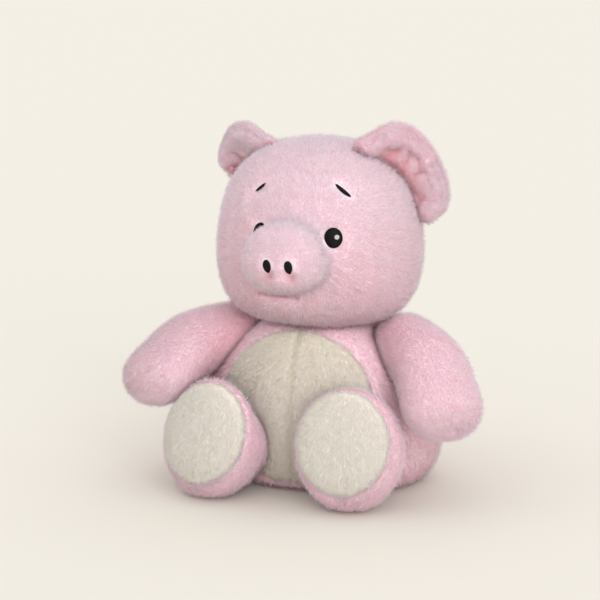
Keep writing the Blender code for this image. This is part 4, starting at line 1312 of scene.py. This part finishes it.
# Creases under each arm: the share of the way to the paw, the width as such a share, and the strength
ARM_CREASES = ((0.32, 0.05, 1.0), (0.46, 0.04, 0.6))
ARM_CREASE_DEPTH = 1.6 * MM
# How much painted shade deepens each arm's tone beside the body
ARM_PAINTED_SHADES = {"left": 0.3, "right": 0.6}
SOLE_SEAM_WIDTH = 2.2 * MM
SOLE_SEAM_DEPTH = 0.8 * MM


def along_arm(points, side):
    """0 at the shoulder and 1 at the paw."""
    shoulder = place_of(f"arm_{side}_swing")
    low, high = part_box(f"arm_skin_{side}")
    paw = Vector(((low.x + high.x) / 2 + SIDES[side] * 12 * MM, low.y + 20 * MM, low.z + 20 * MM))
    reach = paw - shoulder
    return ((points - np.array(shoulder)) @ np.array(reach)) / reach.length_squared


def make_arm(side, plush):
    nodes = (f"arm_skin_{side}", f"arm_stuffing_{side}")
    form = merged_form(f"arm_form_{side}", nodes)
    share = along_arm(points_of(form.data), side)
    creases = sum(strength * crease(share - place, width) for place, width, strength in ARM_CREASES)
    creases = creases * ramp(-normals_of(form.data)[:, 2], 0.1, 0.8)
    push(form.data, -ARM_CREASE_DEPTH * creases)
    fill_pile(form, ("torso_skin", "head_skin", f"leg_skin_{side}", f"sole_{side}"))

    points, fields = fields_on(form, ["torso_skin"])
    fields["comb"] = combed_from(points, place_of(f"arm_{side}_swing"), drop=20 * MM)
    # Painted shade beside the body and in the creases under the arm
    change(fields, beside(points, ["torso_skin"], 4 * MM, 34 * MM), paler=-ARM_PAINTED_SHADES[side])
    change(fields, creases, paler=-0.2)
    change(fields, ramp(share, 0.5, 0.9), paler=0.08)
    plush.grow(f"arm_pile_{side}", f"arm_{side}", "pink", form, STRANDS["arm"], fields)
    plush.pad(form, f"arm_{side}", "pink", FILLS["arm"], fields["tone"], *nodes)


def low_on_sole(points, side):
    """0 from the sole's middle up, and 1 at its lower edge."""
    return ramp(middle_of(f"sole_{side}").z - points[:, 2], 4 * MM, 26 * MM)


def make_leg(side, plush):
    skin, sole, stuffing = f"leg_skin_{side}", f"sole_{side}", f"leg_stuffing_{side}"
    form = merged_form(f"leg_form_{side}", (skin, sole, stuffing))
    hip = place_of(f"leg_{side}_swing")
    points = points_of(form.data)
    overlap = 1.2 * MM + 3 * MM * low_on_sole(points, side)
    from_seam = distance_to(points, [sole]) + overlap - distance_to(points, [skin])
    on_sole = (from_seam < 0).astype(float)
    push(form.data, -SOLE_SEAM_DEPTH * crease(from_seam, SOLE_SEAM_WIDTH) * (points[:, 1] < hip.y))
    fill_pile(form, LEG_NEIGHBOURS, 1 - 0.6 * on_sole)

    points, fields = fields_on(form, ["torso_skin"])
    fields["comb"] = combed_from(points, hip, drop=10 * MM)
    # Painted shade beside the torso and low down near the floor
    change(fields, beside(points, ["torso_skin"], 3 * MM, 16 * MM), paler=-0.15)
    change(fields, 1 - ramp(points[:, 2], 2 * MM, 16 * MM), paler=-0.15)
    plush.grow(
        f"leg_pile_{side}", f"leg_{side}", "pink", form, STRANDS["leg"], restricted(fields, 1 - on_sole)
    )
    plush.pad(form, f"leg_{side}", "pink", FILLS["leg"], fields["tone"], skin, stuffing)


def make_sole(side, plush):
    """The cream sole, a thin pad on the leg's form whose pile falls over the seam."""
    form = merged_form(f"sole_form_{side}", [f"sole_{side}"], FINE_VOXEL, rounds=10)
    outer = blurred(form.data, (normals_of(form.data)[:, 1] < 0).astype(float), rounds=3)
    points = points_of(form.data)
    off_seam = ramp(distance_to(points, [f"leg_skin_{side}"]), 0.5 * MM, 4 * MM)
    push(form.data, (PAD_LIFT - 1.0 * MM * low_on_sole(points, side) * (1 - off_seam)) * outer)
    fill_pile(form, LEG_NEIGHBOURS, outer * (0.5 + 0.5 * off_seam))

    points, fields = fields_on(form, ["torso_skin"])
    fields["cover"] *= outer
    fields["comb"] = combed_down(points, middle_of(f"sole_{side}").x, spread=14)
    # Painted shade towards the floor
    fields["tone"] = 0.95 - 0.2 * (1 - ramp(points[:, 2], 8 * MM, 34 * MM))
    plush.grow(
        f"sole_pile_{side}", f"leg_{side}", "cream", form, STRANDS["sole"], fields, Length=SOLE_PILE
    )
    plush.pad(form, f"leg_{side}", "cream", FILLS["sole"], fields["tone"], f"sole_{side}")


# Floor, light and camera

CAMERA_AIM = Vector((-16.2, 4.2, 124.3)) * MM
CAMERA_AZIMUTH = 20.0
CAMERA_ELEVATION = 11.0
CAMERA_DISTANCE = 1.3
CAMERA_LENS = 111.43
CAMERA_SENSOR = 36.0
CAMERA_SIGHT = 100
FLOOR_HALF_SIZE = 30.0
WORLD_COLOUR = (1.0, 0.985, 0.965)
WORLD_LIGHT = 1.1
SUN_COLOUR = (0.985, 0.99, 1.0)
SUN_LIGHT = 1.1
SUN_FROM = (0.72, -1.0, 0.42)
SUN_SPREAD = 40.0


def make_camera():
    azimuth, elevation = math.radians(CAMERA_AZIMUTH), math.radians(CAMERA_ELEVATION)
    back = Vector(
        (
            math.sin(azimuth) * math.cos(elevation),
            -math.cos(azimuth) * math.cos(elevation),
            math.sin(elevation),
        )
    )
    lens = bpy.data.cameras.new("camera")
    lens.lens = CAMERA_LENS
    lens.sensor_width = CAMERA_SENSOR
    lens.clip_end = CAMERA_SIGHT
    camera = add_object("camera", lens)
    camera.location = CAMERA_AIM + back * CAMERA_DISTANCE
    camera.rotation_euler = (-back).to_track_quat("-Z", "Y").to_euler()
    bpy.context.scene.camera = camera


def make_floor():
    bm = bmesh.new()
    corners = [(x * FLOOR_HALF_SIZE, y * FLOOR_HALF_SIZE, 0) for x, y in ((-1, -1), (1, -1), (1, 1), (-1, 1))]
    bm.faces.new([bm.verts.new(corner) for corner in corners])
    mesh = bpy.data.meshes.new("floor")
    bm.to_mesh(mesh)
    bm.free()
    floor = add_object("floor", mesh)
    finish = Finish("pale floor", roughness=1.0)
    finish.set(Base_Color=(*FLOOR, 1.0), Specular_IOR_Level=0.0)
    floor.data.materials.append(finish.material)


def make_world():
    """An even glow on the pig, and the backdrop's own colour for what the camera and reflections see."""
    world = bpy.data.worlds.new("studio")
    world.use_nodes = True
    tree = world.node_tree
    tree.nodes.clear()
    path = add_node(tree, "ShaderNodeLightPath")
    shown = sum(Value(tree, path.outputs[f"Is {kind} Ray"]) for kind in ("Camera", "Glossy", "Transmission"))
    glow, backdrop = (
        add_node(tree, "ShaderNodeBackground", None, {"Color": (*colour, 1.0), "Strength": strength})
        for colour, strength in ((WORLD_COLOUR, WORLD_LIGHT), (BACKDROP, 1.0))
    )
    seen = add_node(
        tree,
        "ShaderNodeMixShader",
        None,
        {0: shown.limited(), 1: glow.outputs[0], 2: backdrop.outputs[0]},
    )
    add_node(tree, "ShaderNodeOutputWorld", None, {0: seen.outputs[0]})
    bpy.context.scene.world = world


def make_sun():
    lamp = bpy.data.lights.new("soft sun", "SUN")
    lamp.energy = SUN_LIGHT
    lamp.angle = math.radians(SUN_SPREAD)
    lamp.color = SUN_COLOUR
    sun = add_object("soft sun", lamp)
    sun.rotation_euler = Vector(SUN_FROM).to_track_quat("Z", "Y").to_euler()


def make_finishes():
    return {
        "pink": pile_finish("pink pile", ROOT_PINK, DEEP_PINK, PALE_PINK),
        "rose": pile_finish("rose pile", ROOT_ROSE, DEEP_ROSE, PALE_ROSE),
        "cream": pile_finish("cream pile", ROOT_CREAM, DEEP_CREAM, PALE_CREAM),
        "pink underhair": underhair_finish("pink underhair", DEEP_PINK, PALE_PINK),
        "cream underhair": underhair_finish("cream underhair", DEEP_CREAM, PALE_CREAM),
        "black": thread_finish("black thread", THREAD_BLACK, roughness=0.5),
        "pale": thread_finish("pale thread", THREAD_PALE, roughness=0.6),
    }


def main():
    bpy.context.scene.view_settings.view_transform = "Standard"
    plush = Plush(make_finishes())
    make_head(plush)
    make_torso(plush)
    make_belly(plush)
    make_neck(plush)
    make_tail(plush)
    for side in SIDES:
        make_ear(side, plush)
        make_arm(side, plush)
        make_leg(side, plush)
        make_sole(side, plush)
    plush.clear()
    make_floor()
    make_world()
    make_sun()
    make_camera()


main()
